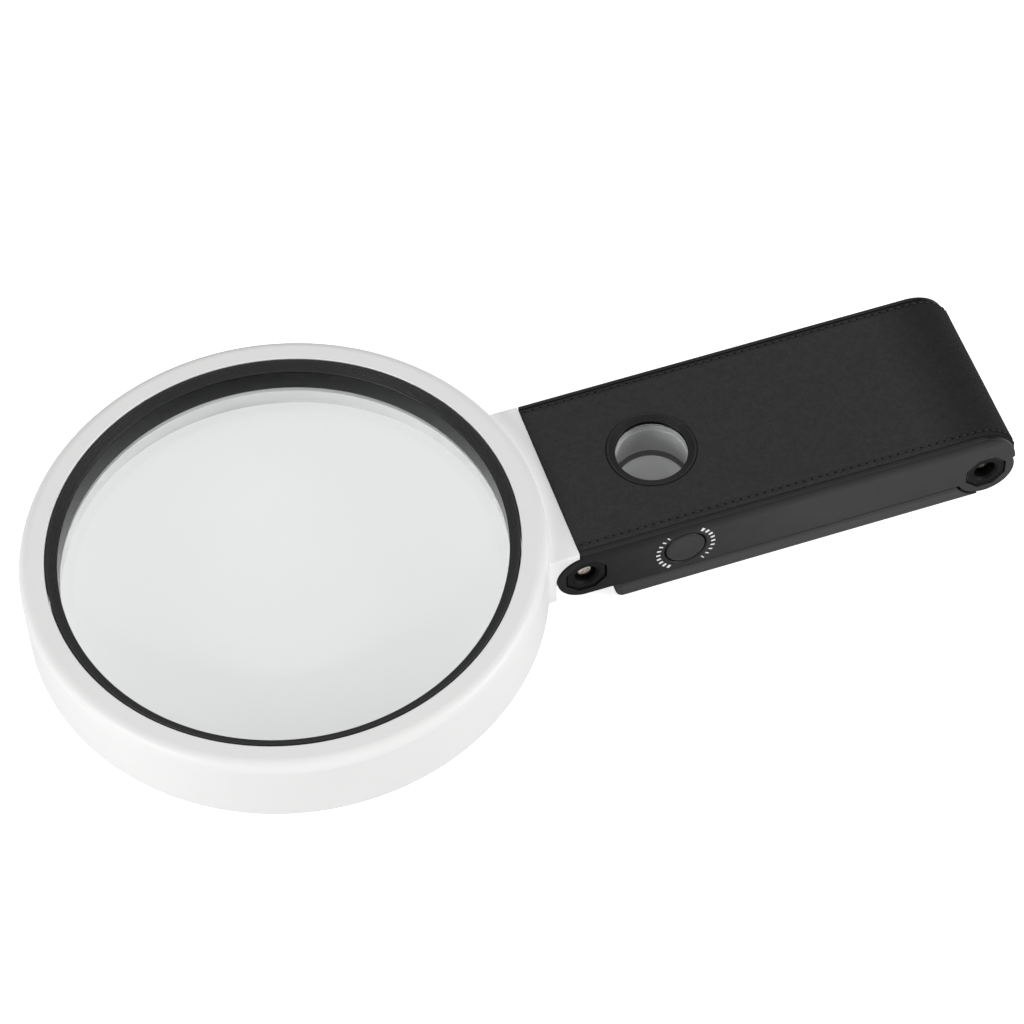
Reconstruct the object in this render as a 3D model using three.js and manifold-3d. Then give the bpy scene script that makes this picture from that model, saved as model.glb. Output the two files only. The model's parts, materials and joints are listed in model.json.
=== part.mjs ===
// Folding illuminated low vision magnifier: a large framed lens on a hinged neck, a flat
// leather-covered handle with a small loupe lens in it, and a hinged base plate under the handle.
// Millimetres, +Z up. The handle runs along +X, the large lens is at -X.
// Inside the object group, z = 0 is the top of the leather and x = 0 the lens end of the handle.
import * as THREE from 'three';
import { mergeVertices } from 'three/addons/utils/BufferGeometryUtils.js';
import Module from 'manifold-3d';

const wasm = await Module();
wasm.setup();

// ---- driving dimensions -------------------------------------------------------------------
const GAP = 0.3; // clearance between pieces that meet
const PAST = 200; // further out than any face, for the shapes that cut right through
const HEAD_X = -82.2; // axis of the large lens
const FRAME_R = 78.1; // outer radius of the lens frame
const FRAME_TOP = 4;
const FRAME_BOTTOM = -20.5;
const FRAME_WALL = 2.2;
const BORE_R = 70.3; // bore that takes the retaining ring and the lens
const SIGHT_R = 66.8; // clear radius through the frame
const LEDGE_TOP = -9.1; // ledge that the lens sits on
const LEDGE_BOTTOM = -11.3;
const COVER_LINE = -18.2; // where the frame's inner wall stops above the rear cover
const SIGHT_WALL = 1.4; // thickness of that inner wall
const NECK_ROOT = 16; // how far the neck starts inside the frame before it is trimmed
const NECK_TOP = -0.9;
const NECK_INSET = 0.4; // depth of the trimmed neck in the frame wall
const RING_FOOT_R = 66.7; // inner edge of the retaining ring
const RING_LIP_Z = 1.65;
const LENS_R = 69;
const LENS_DOME_R = 66.4;
const LENS_SAG = 7;
const LENS_EDGE_TOP = -6.3;
const LENS_EDGE_BOTTOM = -8.8;
const LAMP_RING_IN = 72.1; // LED board and diffuser
const LAMP_RING_OUT = 75.4;
const LED_R = 73.8;
const LED_COUNT = 8;
const LED = { x: 1.3, y: 1.5, bottom: -16.1, top: -14.9 };
const LED_BOARD = { bottom: -14.6, top: -13.4 };
const DIFFUSER_THICK = 1.2;
const SLOT = { halfAngle: 9, halfWidth: 1.1 };
const FRAME_SCREW_R = 69.4;
const FRAME_SCREW_COUNT = 4;
const FRAME_SCREW_TIP = -12.6;

const HALF_WIDTH = 29.5; // half the width of the handle, neck and base
const LUG_INNER_Y = 24.4; // inner face of the hinge lugs
const BARREL_HALF = 24.1; // half length of the hinge barrels
const ARM_START = 0.35;
const ARM_BOTTOM = -21.3;
const RAIL_TOP = -1.3; // plastic edge beside the leather
const LEATHER_THICK = 1.7;
const LEATHER_HALF = 27.9;
const LEATHER_END_Z = -15;
const END_X = 126; // centre of the handle's rounded end
const END_Z = -14.4;
const END_R = 14.4;
const TOP_WALL = 0.8; // handle wall under the leather
const REAR_WALL = 1.4; // wall between the battery room and the base hinge
const SEAT_Z = -2; // floor that the leather lies on
const CAVITY = { x0: 13, x1: 120.5, y: 26.7, top: -3.2 };
// Hinge lines, with the radius of the lugs, of the barrel and of the room that the lugs sweep,
// and the height at which the screw heads stop inside the bushings.
const NECK_PIVOT = { x: 2, z: -12.2, lug: 9.1, barrel: 8.8, sweep: 9.4, headTop: 27.4 };
const BASE_PIVOT = { x: 129.95, z: -17.7, lug: 9.3, barrel: 6.8, sweep: 10.1, headTop: 26.3 };
const BUSHING_FLATS = 12;
const BUSHING_SLACK = 0.4;
const BUSHING_Y = [24.7, 29.1];
const HINGE_HEAD = { bore: 3.4, radius: 2.2, thick: 0.8 };
const HINGE_SHANK_R = 1.8;
const HINGE_SHANK_END = 16;
const HINGE_SHANK_SLACK = 0.4;

const LOUPE_X = 32.85;
const LOUPE_BEZEL_R = 13.6;
const LOUPE_SIGHT_R = 10.9;
const LOUPE_RIM_R = 12.4;
const LOUPE_LEDGE = 0.7; // width of the edge that the bezel hangs on
const LOUPE_LENS = { dome: 10.6, sag: 0.8, top: -3.6, bottom: -5.2 };
const BEZEL_FOOT = -3.3;
const BEZEL_LIP_Z = -1.3;
const BEZEL_LIP = 0.5; // thickness of the lip, above a bore that widens downward
const BEZEL_FOOT_WALL = 0.5;
const TUBE_R = 13.4;
const TUBE_BORE_R = 11;
const TUBE_BOTTOM = -17.6;
const TUBE_LEDGE = -5.5;
const BUTTON = { x: 33.2, z: -12.3, radius: 6.2, flange: 7.2, back: -25.4 };
const PLUNGER = { radius: 1.7, front: -25.1, back: -21.2 };
const SWITCH = { half: 3, front: -23.2, back: -19.5, bore: 2, boreEnd: -20 };
const BOARD = { x0: 20.5, x1: 46, front: -19.2, back: -18, z0: -18.4, z1: -4.2 };

const ARM_COVER_TOP = -19;
const DOOR = { x0: 47.5, x1: 115, y: 23.6, ledge: 1.6, top: -20.1 };
const DOOR_SCREW = [51, 0];
const DOOR_SINK = 0.8;
const BATTERY = {
  radius: 7.1, start: 61, length: 49, slope: 0.3, nub: 1.2, nubRadius: 2.7, z: -11.1, pitch: 15
};
const CONTACT_X = [56.4, 112.9];
const CONTACT = { thick: 0.5, y: 21.5, z0: -16.5, z1: -5.5 };
const SPRING = { turns: 3, steps: 8, wire: 0.35, wide: 4.6, narrow: 2.6, end: 0.7 };

const BASE_TOP = -22.2;
const BASE_BOTTOM = -27.7;
const BASE_START = 11.6;
const BASE_END = 128.1;
const BASE_CORNER_R = 2;
const WINDOW_R = 13;
const WINDOW_WALL = 1.8;
const BASE_CAVITY = { x0: 14, x1: 118, y: 26.7, top: -24.2 };
const BASE_COVER_TOP = -26.2;
// Side outline of the web between the base plate and its hinge barrel.
const WEB_START = 118;
const WEB_OUTLINE = [[131.5, -24.1], [129.7, -18]];
const WEB_TOP_X = 122.5;
const FOOT = { radius: 4, proud: 0.8, inset: 0.7, x: [26.5, 106], y: 21.5 };
const BASE_SCREWS = { x: [18, 113.8], y: 22.5 };
const BASE_SINK = 1;
const ARM_SCREWS = { x: [17, 117.2], y: 22.8 };
const ARM_SCREW_TIP = -11;
const DOOR_SCREW_TIP = -15.5;
const BASE_SCREW_TIP = -24;

const SCREW_HEAD_R = 1.9;
const SCREW_HEAD_T = 0.7;
const SCREW_INSET = 0.2; // how far a head stands inside its face
const THIN_HEAD_T = 0.4; // head and inset of the screw in the thin battery door
const THIN_INSET = 0.1;
const SCREW_SHANK_R = 1;
const SCREW_BORE_R = 1.3;
const SCREW_SINK_R = 2.2;
const SCREW_SINK = 1.2;
const SCREW_ROOM = 0.6; // free depth beyond the tip of a screw
const BOSS_R = 2.6;

// ---- finishes -----------------------------------------------------------------------------
const FINISH = {
  white: { color: 0xf1f1f0, roughness: 0.42, metalness: 0 },
  black: { color: 0x24262a, roughness: 0.45, metalness: 0 },
  gloss: { color: 0x0c0c0e, roughness: 0.2, metalness: 0 },
  leather: { color: 0x1b1b1c, roughness: 0.7, metalness: 0 },
  lens: { color: 0xf4f8f8, roughness: 0.02, metalness: 0, transparent: true, opacity: 0.35 },
  frosted: { color: 0xeef0ee, roughness: 0.6, metalness: 0 },
  steel: { color: 0xb9bcc0, roughness: 0.35, metalness: 1 },
  board: { color: 0x1f6b3c, roughness: 0.5, metalness: 0 },
  lamp: { color: 0xf6e7a8, roughness: 0.3, metalness: 0 },
  cell: { color: 0x3a5f8f, roughness: 0.4, metalness: 0.3 },
  rubber: { color: 0x161616, roughness: 0.9, metalness: 0 }
};

// ---- solids -------------------------------------------------------------------------------
const SEGMENTS = { frame: 48, barrel: 36, loupe: 32, button: 28, hole: 16, small: 10 };

function outward(geometry) {
  const position = geometry.attributes.position;
  const index = geometry.index;
  const corners = [new THREE.Vector3(), new THREE.Vector3(), new THREE.Vector3()];
  let volume = 0;
  for (let i = 0; i < index.count; i += 3) {
    corners.forEach((corner, k) => corner.fromBufferAttribute(position, index.getX(i + k)));
    volume += corners[0].dot(corners[1].clone().cross(corners[2]));
  }
  if (volume < 0) {
    for (let i = 0; i < index.count; i += 3) {
      const first = index.getX(i);
      index.setX(i, index.getX(i + 2));
      index.setX(i + 2, first);
    }
  }
  return geometry;
}

function solid(geometry) {
  const bare = geometry.clone();
  bare.deleteAttribute('normal');
  bare.deleteAttribute('uv');
  const merged = outward(mergeVertices(bare, 1e-3));
  const vertProperties = new Float32Array(merged.attributes.position.array);
  const triVerts = new Uint32Array(merged.index.array);
  return new wasm.Manifold(new wasm.Mesh({ numProp: 3, vertProperties, triVerts }));
}

function surface(body) {
  const mesh = body.getMesh();
  const geometry = new THREE.BufferGeometry();
  geometry.setAttribute('position', new THREE.BufferAttribute(mesh.vertProperties, 3));
  geometry.setIndex(new THREE.BufferAttribute(mesh.triVerts, 1));
  geometry.computeVertexNormals();
  return geometry;
}

const join = (first, ...others) => others.reduce((body, other) => body.add(other), first);
const cut = (first, ...others) => others.reduce((body, other) => body.subtract(other), first);

// Solid of revolution about +Z through (x, y) from a closed [radius, height] outline.
function turned(outline, segments, x = 0, y = 0) {
  const points = outline.map(([r, z]) => new THREE.Vector2(r, z));
  const first = points[0];
  const last = points[points.length - 1];
  if (first.x > 0 || last.x > 0) {
    points.push(first.clone());
  }
  const geometry = new THREE.LatheGeometry(points, segments);
  geometry.rotateX(Math.PI / 2);
  geometry.translate(x, y, 0);
  return geometry;
}

function annulus(inner, outer, z0, z1, segments) {
  return turned([[inner, z0], [outer, z0], [outer, z1], [inner, z1]], segments);
}

const disc = (r, z0, z1, segments, x = 0, y = 0) =>
  turned([[0, z0], [r, z0], [r, z1], [0, z1]], segments, x, y);

// Cylinder along Y about the line (x, z), between y0 and y1.
function rod(r, y0, y1, segments, x, z) {
  const geometry = new THREE.CylinderGeometry(r, r, y1 - y0, segments);
  geometry.translate(x, (y0 + y1) / 2, z);
  return geometry;
}

function block(x0, x1, y0, y1, z0, z1) {
  const geometry = new THREE.BoxGeometry(x1 - x0, y1 - y0, z1 - z0);
  geometry.translate((x0 + x1) / 2, (y0 + y1) / 2, (z0 + z1) / 2);
  return geometry;
}

// Points of an arc about (cx, cz) from angle a0 to a1 in degrees.
function arc(cx, cz, r, a0, a1, steps) {
  return Array.from({ length: steps + 1 }, (_, i) => {
    const a = THREE.MathUtils.degToRad(a0 + ((a1 - a0) * i) / steps);
    return [cx + r * Math.cos(a), cz + r * Math.sin(a)];
  });
}

const outlineShape = (points) => new THREE.Shape(points.map(([a, b]) => new THREE.Vector2(a, b)));

// Side outline in X and Z, extruded from y0 to y1.
function sideExtrude(points, y0, y1) {
  const geometry = new THREE.ExtrudeGeometry(outlineShape(points), {
    depth: y1 - y0, bevelEnabled: false
  });
  geometry.rotateX(Math.PI / 2);
  geometry.translate(0, y1, 0);
  return geometry;
}

// Plan shape in X and Y, extruded from z0 to z1.
function planExtrude(shape, z0, z1) {
  const geometry = new THREE.ExtrudeGeometry(shape, { depth: z1 - z0, bevelEnabled: false });
  geometry.translate(0, 0, z0);
  return geometry;
}

const degrees = (a) => THREE.MathUtils.radToDeg(a);
const SIDES = [['left', -1], ['right', 1]];
const corners = ({ x, y }) => x.flatMap((cx) => [[cx, -y], [cx, y]]);

const magnifier = new THREE.Group();
magnifier.name = 'low_vision_magnifier';
// The origin is under the middle of the whole object, at the soles of the feet.
magnifier.position.set(
  -(HEAD_X - FRAME_R + END_X + END_R) / 2, 0, FOOT.proud - BASE_BOTTOM
);

function place(name, shape, finish, parent = magnifier) {
  const geometry = shape instanceof THREE.BufferGeometry ? surface(solid(shape)) : surface(shape);
  const mesh = new THREE.Mesh(geometry, new THREE.MeshStandardMaterial(FINISH[finish]));
  mesh.name = name;
  parent.add(mesh);
  return mesh;
}

// ---- screws -------------------------------------------------------------------------------
// Cover screw whose flat head faces down, a little above the face that its hole is sunk in.
function coverScrew(name, [x, y], headBottom, tip, parent, headThick = SCREW_HEAD_T) {
  const headTop = headBottom + headThick;
  const outline = [
    [0, headBottom], [SCREW_HEAD_R, headBottom], [SCREW_HEAD_R, headTop],
    [SCREW_SHANK_R, headTop], [SCREW_SHANK_R, tip], [0, tip]
  ];
  place(name, turned(outline, SEGMENTS.small, x, y), 'steel', parent);
}

// Hole for a cover screw, with its head room up to the height sinkTop.
const sunkHole = ([x, y], sinkTop) => join(
  solid(disc(SCREW_SINK_R, -PAST, sinkTop, SEGMENTS.small, x, y)),
  solid(disc(SCREW_BORE_R, -PAST, sinkTop + SCREW_SINK, SEGMENTS.small, x, y))
);

const boss = ([x, y], z0, z1, r = BOSS_R) => solid(disc(r, z0, z1, SEGMENTS.small, x, y));
const bossHole = ([x, y], top) => solid(disc(SCREW_BORE_R, -PAST, top, SEGMENTS.small, x, y));

// ---- lens head ----------------------------------------------------------------------------
const head = new THREE.Group();
head.position.x = HEAD_X;
magnifier.add(head);

function polar(r, angle) {
  return [r * Math.cos(angle), r * Math.sin(angle)];
}

const frameScrewPlaces = Array.from({ length: FRAME_SCREW_COUNT }, (_, i) =>
  polar(FRAME_SCREW_R, Math.PI / 4 + (i * 2 * Math.PI) / FRAME_SCREW_COUNT));
const ledAngles = Array.from({ length: LED_COUNT }, (_, i) =>
  ((i + 0.5) * 2 * Math.PI) / LED_COUNT);

function lensFrame() {
  const topFillet = 3.5;
  const bottomFillet = 1.5;
  const boreWall = 1.6;
  const bossRadius = 2;
  const inner = FRAME_R - FRAME_WALL;
  const ring = solid(turned([
    ...arc(FRAME_R - bottomFillet, FRAME_BOTTOM + bottomFillet, bottomFillet, -90, 0, 2),
    ...arc(FRAME_R - topFillet, FRAME_TOP - topFillet, topFillet, 0, 90, 4),
    [BORE_R, FRAME_TOP], [BORE_R, LEDGE_TOP], [SIGHT_R, LEDGE_TOP], [SIGHT_R, COVER_LINE],
    [SIGHT_R + SIGHT_WALL, COVER_LINE], [SIGHT_R + SIGHT_WALL, LEDGE_BOTTOM],
    [BORE_R + boreWall, LEDGE_BOTTOM], [BORE_R + boreWall, FRAME_TOP - FRAME_WALL],
    [inner, FRAME_TOP - FRAME_WALL], [inner, FRAME_BOTTOM]
  ], SEGMENTS.frame));
  const bosses = frameScrewPlaces.map((spot) =>
    boss(spot, COVER_LINE, LEDGE_BOTTOM + GAP, bossRadius));
  const holes = frameScrewPlaces.map((spot) => bossHole(spot, FRAME_SCREW_TIP + SCREW_ROOM));
  return cut(join(ring, ...bosses, neck()), ...holes);
}

const span = (side, a, b) => [side * a, side * b].sort((p, q) => p - q);

// Holes for the two hinge screws in a barrel about the line (x, z).
const shankHoles = (x, z) => SIDES.map(([, side]) => solid(rod(
  HINGE_SHANK_R + HINGE_SHANK_SLACK, ...span(side, BARREL_HALF + 1, HINGE_SHANK_END - 1),
  SEGMENTS.small, x, z)));

// Neck from the frame wall to the hinge, in the head's own frame.
function neck() {
  const pivotX = NECK_PIVOT.x - HEAD_X;
  const tipX = ARM_START - GAP - HEAD_X;
  const start = FRAME_R - NECK_ROOT;
  const tipAngle = degrees(Math.acos((tipX - pivotX) / NECK_PIVOT.sweep));
  const cheeks = sideExtrude([
    [start, NECK_TOP], [start, FRAME_BOTTOM], [pivotX - NECK_PIVOT.sweep, FRAME_BOTTOM],
    ...arc(pivotX, NECK_PIVOT.z, NECK_PIVOT.sweep, 180, tipAngle, 8),
    [tipX, NECK_TOP]
  ], -HALF_WIDTH, HALF_WIDTH);
  const middle = block(start, tipX, -BARREL_HALF, BARREL_HALF, FRAME_BOTTOM, NECK_TOP);
  const barrel = rod(NECK_PIVOT.barrel, -BARREL_HALF, BARREL_HALF, SEGMENTS.barrel,
    pivotX, NECK_PIVOT.z);
  const inside = disc(FRAME_R - FRAME_WALL + NECK_INSET, -PAST, PAST, SEGMENTS.frame);
  return cut(join(solid(cheeks), solid(middle), solid(barrel)), solid(inside),
    ...shankHoles(pivotX, NECK_PIVOT.z));
}

function rearCover() {
  const plate = annulus(SIGHT_R, FRAME_R - FRAME_WALL - GAP, FRAME_BOTTOM, COVER_LINE - GAP,
    SEGMENTS.frame);
  const slots = ledAngles.map((angle) => {
    const middle = degrees(angle);
    const shape = outlineShape([
      ...arc(0, 0, LED_R + SLOT.halfWidth, middle - SLOT.halfAngle, middle + SLOT.halfAngle, 3),
      ...arc(0, 0, LED_R - SLOT.halfWidth, middle + SLOT.halfAngle, middle - SLOT.halfAngle, 3)
    ]);
    return solid(planExtrude(shape, -PAST, PAST));
  });
  const holes = frameScrewPlaces.map((spot) => sunkHole(spot, FRAME_BOTTOM + SCREW_SINK));
  return cut(solid(plate), ...slots, ...holes);
}

function domedLens(rim, dome, sag, edgeTop, edgeBottom, steps, segments) {
  const curve = (dome * dome + sag * sag) / (2 * sag);
  const half = degrees(Math.asin(dome / curve));
  const upper = arc(0, edgeTop + sag - curve, curve, 90 - half, 90, steps);
  const lower = arc(0, edgeBottom - sag + curve, curve, -90, -90 + half, steps);
  upper[steps][0] = 0;
  lower[0][0] = 0;
  return turned([...lower, [rim, edgeBottom], [rim, edgeTop], ...upper], segments);
}

place('lens_frame', lensFrame(), 'white', head);
place('lens_frame_rear_cover', rearCover(), 'white', head);
place('retaining_ring', turned([
  [RING_FOOT_R, LENS_EDGE_TOP + GAP], [BORE_R - GAP, LENS_EDGE_TOP + GAP],
  [BORE_R - GAP, FRAME_TOP], [BORE_R - 3 * GAP, FRAME_TOP], [RING_FOOT_R, RING_LIP_Z]
], SEGMENTS.frame), 'gloss', head);
place('main_lens', domedLens(
  LENS_R, LENS_DOME_R, LENS_SAG, LENS_EDGE_TOP, LENS_EDGE_BOTTOM, 5, SEGMENTS.frame
), 'lens', head);
place('led_board', annulus(
  LAMP_RING_IN, LAMP_RING_OUT, LED_BOARD.bottom, LED_BOARD.top, SEGMENTS.frame
), 'board', head);
place('light_diffuser_ring', annulus(
  LAMP_RING_IN, LAMP_RING_OUT, COVER_LINE, COVER_LINE + DIFFUSER_THICK, SEGMENTS.frame
), 'frosted', head);
ledAngles.forEach((angle, i) => {
  const chip = place(`led_${i + 1}`, block(-LED.x, LED.x, -LED.y, LED.y, LED.bottom, LED.top),
    'lamp', head);
  const [x, y] = polar(LED_R, angle);
  chip.position.set(x, y, 0);
  chip.rotation.z = angle;
});
frameScrewPlaces.forEach((spot, i) => coverScrew(
  `frame_screw_${i + 1}`, spot, FRAME_BOTTOM + SCREW_INSET, FRAME_SCREW_TIP, head));

// ---- hinges -------------------------------------------------------------------------------
// Octagonal bushing let into a lug, and the screw that passes through it into the barrel.
function octagon(flats, pivot) {
  const r = flats / 2 / Math.cos(Math.PI / 8);
  return arc(pivot.x, pivot.z, r, 22.5, 337.5, 7);
}

function hingeHardware(label, pivot) {
  const headBase = pivot.headTop - HINGE_HEAD.thick;
  for (const [sideName, side] of SIDES) {
    const along = (r, a, b, segments) =>
      solid(rod(r, ...span(side, a, b), segments, pivot.x, pivot.z));
    const bushing = cut(
      solid(sideExtrude(octagon(BUSHING_FLATS, pivot), ...span(side, ...BUSHING_Y))),
      along(HINGE_HEAD.bore, headBase - GAP, PAST, SEGMENTS.barrel),
      along(HINGE_SHANK_R + HINGE_SHANK_SLACK, 0, PAST, SEGMENTS.hole)
    );
    place(`${label}_hinge_bushing_${sideName}`, bushing, 'black');
    const screw = join(
      along(HINGE_HEAD.radius, headBase, pivot.headTop, SEGMENTS.hole),
      along(HINGE_SHANK_R, HINGE_SHANK_END, headBase + HINGE_HEAD.thick / 2, SEGMENTS.small)
    );
    place(`${label}_hinge_screw_${sideName}`, screw, 'steel');
  }
}

hingeHardware('neck', NECK_PIVOT);
hingeHardware('base', BASE_PIVOT);

// ---- handle -------------------------------------------------------------------------------
function armOutline() {
  const startAngle = degrees(Math.acos((ARM_START - NECK_PIVOT.x) / NECK_PIVOT.lug));
  const endTop = degrees(Math.asin((END_Z - BASE_PIVOT.z) / BASE_PIVOT.lug));
  const endBottom = -180 + degrees(Math.asin((BASE_PIVOT.z - ARM_BOTTOM) / BASE_PIVOT.lug));
  const railR = END_R + RAIL_TOP;
  return [
    [ARM_START, RAIL_TOP],
    ...arc(NECK_PIVOT.x, NECK_PIVOT.z, NECK_PIVOT.lug, startAngle, 270, 10),
    ...arc(BASE_PIVOT.x, BASE_PIVOT.z, BASE_PIVOT.lug, endBottom, endTop, 12),
    ...arc(END_X, END_Z, railR, 0, 90, 8)
  ];
}

function armShell() {
  const seatR = END_R + SEAT_Z;
  const wallR = seatR - TOP_WALL;
  const rearX = CAVITY.x1 + REAR_WALL;
  const tailZ = LEATHER_END_Z - GAP;
  const leatherSeat = sideExtrude([
    [-PAST, PAST], [-PAST, SEAT_Z], ...arc(END_X, END_Z, seatR, 90, 0, 8),
    [END_X + seatR, tailZ], [PAST, tailZ], [PAST, PAST]
  ], -LEATHER_HALF - GAP, LEATHER_HALF + GAP);
  const cavity = block(CAVITY.x0, CAVITY.x1, -CAVITY.y, CAVITY.y, -PAST, CAVITY.top);
  const frontRoom = block(-PAST, NECK_PIVOT.x + NECK_PIVOT.sweep, -LUG_INNER_Y, LUG_INNER_Y,
    -PAST, SEAT_Z - TOP_WALL);
  const rearRoom = sideExtrude([
    [rearX, -PAST], [PAST, -PAST], [PAST, END_Z], ...arc(END_X, END_Z, wallR, 0, 90, 8),
    [rearX, SEAT_Z - TOP_WALL]
  ], -LUG_INNER_Y, LUG_INNER_Y);
  const underEnd = block(CAVITY.x1 - 1, PAST, -LUG_INNER_Y, LUG_INNER_Y, -PAST, ARM_BOTTOM);
  const loupeHole = disc(LOUPE_BEZEL_R - LOUPE_LEDGE, -PAST, PAST, SEGMENTS.loupe, LOUPE_X);
  const buttonHole = rod(BUTTON.radius + GAP, -PAST, 0, SEGMENTS.button, BUTTON.x, BUTTON.z);
  const bushingHoles = [NECK_PIVOT, BASE_PIVOT].map((pivot) =>
    solid(sideExtrude(octagon(BUSHING_FLATS + 2 * BUSHING_SLACK, pivot), -PAST, PAST)));
  const posts = corners(ARM_SCREWS).map((spot) =>
    boss(spot, ARM_COVER_TOP + GAP, CAVITY.top + GAP));
  const holes = corners(ARM_SCREWS).map((spot) => bossHole(spot, ARM_SCREW_TIP + SCREW_ROOM));
  const shell = cut(solid(sideExtrude(armOutline(), -HALF_WIDTH, HALF_WIDTH)),
    ...[leatherSeat, cavity, frontRoom, rearRoom, underEnd, loupeHole, buttonHole].map(solid),
    ...bushingHoles);
  return cut(join(shell, ...posts), ...holes);
}

function leatherCover() {
  const inner = END_R - LEATHER_THICK;
  const sheet = sideExtrude([
    [ARM_START, 0], [ARM_START, -LEATHER_THICK], ...arc(END_X, END_Z, inner, 90, 0, 10),
    [END_X + inner, LEATHER_END_Z], [END_X + END_R, LEATHER_END_Z],
    ...arc(END_X, END_Z, END_R, 0, 90, 10)
  ], -LEATHER_HALF, LEATHER_HALF);
  return cut(solid(sheet), solid(disc(LOUPE_BEZEL_R + GAP, -PAST, PAST, SEGMENTS.loupe, LOUPE_X)));
}

function armRearCover() {
  const plate = solid(block(CAVITY.x0 + GAP, CAVITY.x1 - GAP, -CAVITY.y + GAP, CAVITY.y - GAP,
    ARM_BOTTOM, ARM_COVER_TOP));
  const doorSeat = solid(block(DOOR.x0, DOOR.x1, -DOOR.y, DOOR.y, -PAST, DOOR.top + GAP));
  const opening = solid(block(CONTACT_X[0] - 1, DOOR.x1 - DOOR.ledge, -DOOR.y + DOOR.ledge,
    DOOR.y - DOOR.ledge, -PAST, 0));
  const tubeHole = solid(disc(TUBE_BORE_R, -PAST, 0, SEGMENTS.loupe, LOUPE_X));
  const flangeRoom = solid(rod(BUTTON.flange + GAP, -PAST, -LUG_INNER_Y, SEGMENTS.button,
    BUTTON.x, BUTTON.z));
  const sinks = corners(ARM_SCREWS).map((spot) => sunkHole(spot, ARM_BOTTOM + SCREW_SINK));
  const doorPost = boss(DOOR_SCREW, DOOR.top + GAP, DOOR_SCREW_TIP + 2 * SCREW_ROOM);
  return cut(join(cut(plate, doorSeat, opening, tubeHole, flangeRoom, ...sinks), doorPost),
    bossHole(DOOR_SCREW, DOOR_SCREW_TIP + SCREW_ROOM));
}

function batteryDoor() {
  const plate = solid(block(DOOR.x0 + GAP, DOOR.x1 - GAP, -DOOR.y + GAP, DOOR.y - GAP,
    ARM_BOTTOM, DOOR.top));
  return cut(plate, sunkHole(DOOR_SCREW, ARM_BOTTOM + DOOR_SINK));
}

place('arm_shell', armShell(), 'black');
place('arm_rear_cover', armRearCover(), 'black');
place('leather_cover', leatherCover(), 'leather');
place('battery_door', batteryDoor(), 'black');
corners(ARM_SCREWS).forEach((spot, i) =>
  coverScrew(`arm_cover_screw_${i + 1}`, spot, ARM_BOTTOM + SCREW_INSET, ARM_SCREW_TIP));
coverScrew('battery_door_screw', DOOR_SCREW, ARM_BOTTOM + THIN_INSET, DOOR_SCREW_TIP, magnifier,
  THIN_HEAD_T);

// ---- loupe in the handle ------------------------------------------------------------------
place('small_lens_bezel', turned([
  [LOUPE_BEZEL_R - 1 - BEZEL_FOOT_WALL, BEZEL_FOOT], [LOUPE_BEZEL_R - 1, BEZEL_FOOT],
  [LOUPE_BEZEL_R - 1, -LEATHER_THICK], [LOUPE_BEZEL_R, -LEATHER_THICK], [LOUPE_BEZEL_R, 0],
  [LOUPE_BEZEL_R - 2 * GAP, 0], [LOUPE_SIGHT_R, BEZEL_LIP_Z],
  [LOUPE_SIGHT_R, BEZEL_LIP_Z - BEZEL_LIP]
], SEGMENTS.loupe, LOUPE_X), 'gloss');
const smallLens = place('small_lens', domedLens(
  LOUPE_RIM_R, LOUPE_LENS.dome, LOUPE_LENS.sag, LOUPE_LENS.top, LOUPE_LENS.bottom, 4, SEGMENTS.loupe
), 'lens');
smallLens.position.x = LOUPE_X;
place('light_tube', turned([
  [TUBE_BORE_R, TUBE_BOTTOM], [TUBE_R, TUBE_BOTTOM], [TUBE_R, LOUPE_LENS.top],
  [LOUPE_RIM_R + GAP, LOUPE_LENS.top], [LOUPE_RIM_R + GAP, TUBE_LEDGE], [TUBE_BORE_R, TUBE_LEDGE]
], SEGMENTS.loupe, LOUPE_X), 'white');

// ---- button and switch --------------------------------------------------------------------
place('brightness_button', join(
  solid(rod(BUTTON.radius, -HALF_WIDTH, BUTTON.back, SEGMENTS.button, BUTTON.x, BUTTON.z)),
  solid(rod(BUTTON.flange, -CAVITY.y + GAP, BUTTON.back, SEGMENTS.button, BUTTON.x, BUTTON.z))
), 'black');
place('switch_plunger',
  rod(PLUNGER.radius, PLUNGER.front, PLUNGER.back, SEGMENTS.hole, BUTTON.x, BUTTON.z), 'gloss');
place('tact_switch', cut(
  solid(block(BUTTON.x - SWITCH.half, BUTTON.x + SWITCH.half, SWITCH.front, SWITCH.back,
    BUTTON.z - SWITCH.half, BUTTON.z + SWITCH.half)),
  solid(rod(SWITCH.bore, -PAST, SWITCH.boreEnd, SEGMENTS.hole, BUTTON.x, BUTTON.z))
), 'gloss');
place('circuit_board',
  block(BOARD.x0, BOARD.x1, BOARD.front, BOARD.back, BOARD.z0, BOARD.z1), 'board');

// ---- batteries ----------------------------------------------------------------------------
function alongX(geometry, x, y, z) {
  geometry.rotateY(Math.PI / 2);
  geometry.translate(x, y, z);
  return geometry;
}

// Cone of round wire pressed flat between the contact plate and a cell.
function contactSpring(x0, x1, y, z) {
  const steps = SPRING.turns * SPRING.steps;
  const points = Array.from({ length: steps + 1 }, (_, i) => {
    const t = i / steps;
    const a = t * SPRING.turns * 2 * Math.PI;
    const r = SPRING.wide + (SPRING.narrow - SPRING.wide) * t;
    return new THREE.Vector3(x0 + (x1 - x0) * t, y + r * Math.cos(a), z + r * Math.sin(a));
  });
  const wire = outlineShape(arc(0, 0, SPRING.wire, 0, 288, 4));
  return new THREE.ExtrudeGeometry(wire, {
    steps, bevelEnabled: false, extrudePath: new THREE.CatmullRomCurve3(points)
  });
}

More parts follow.
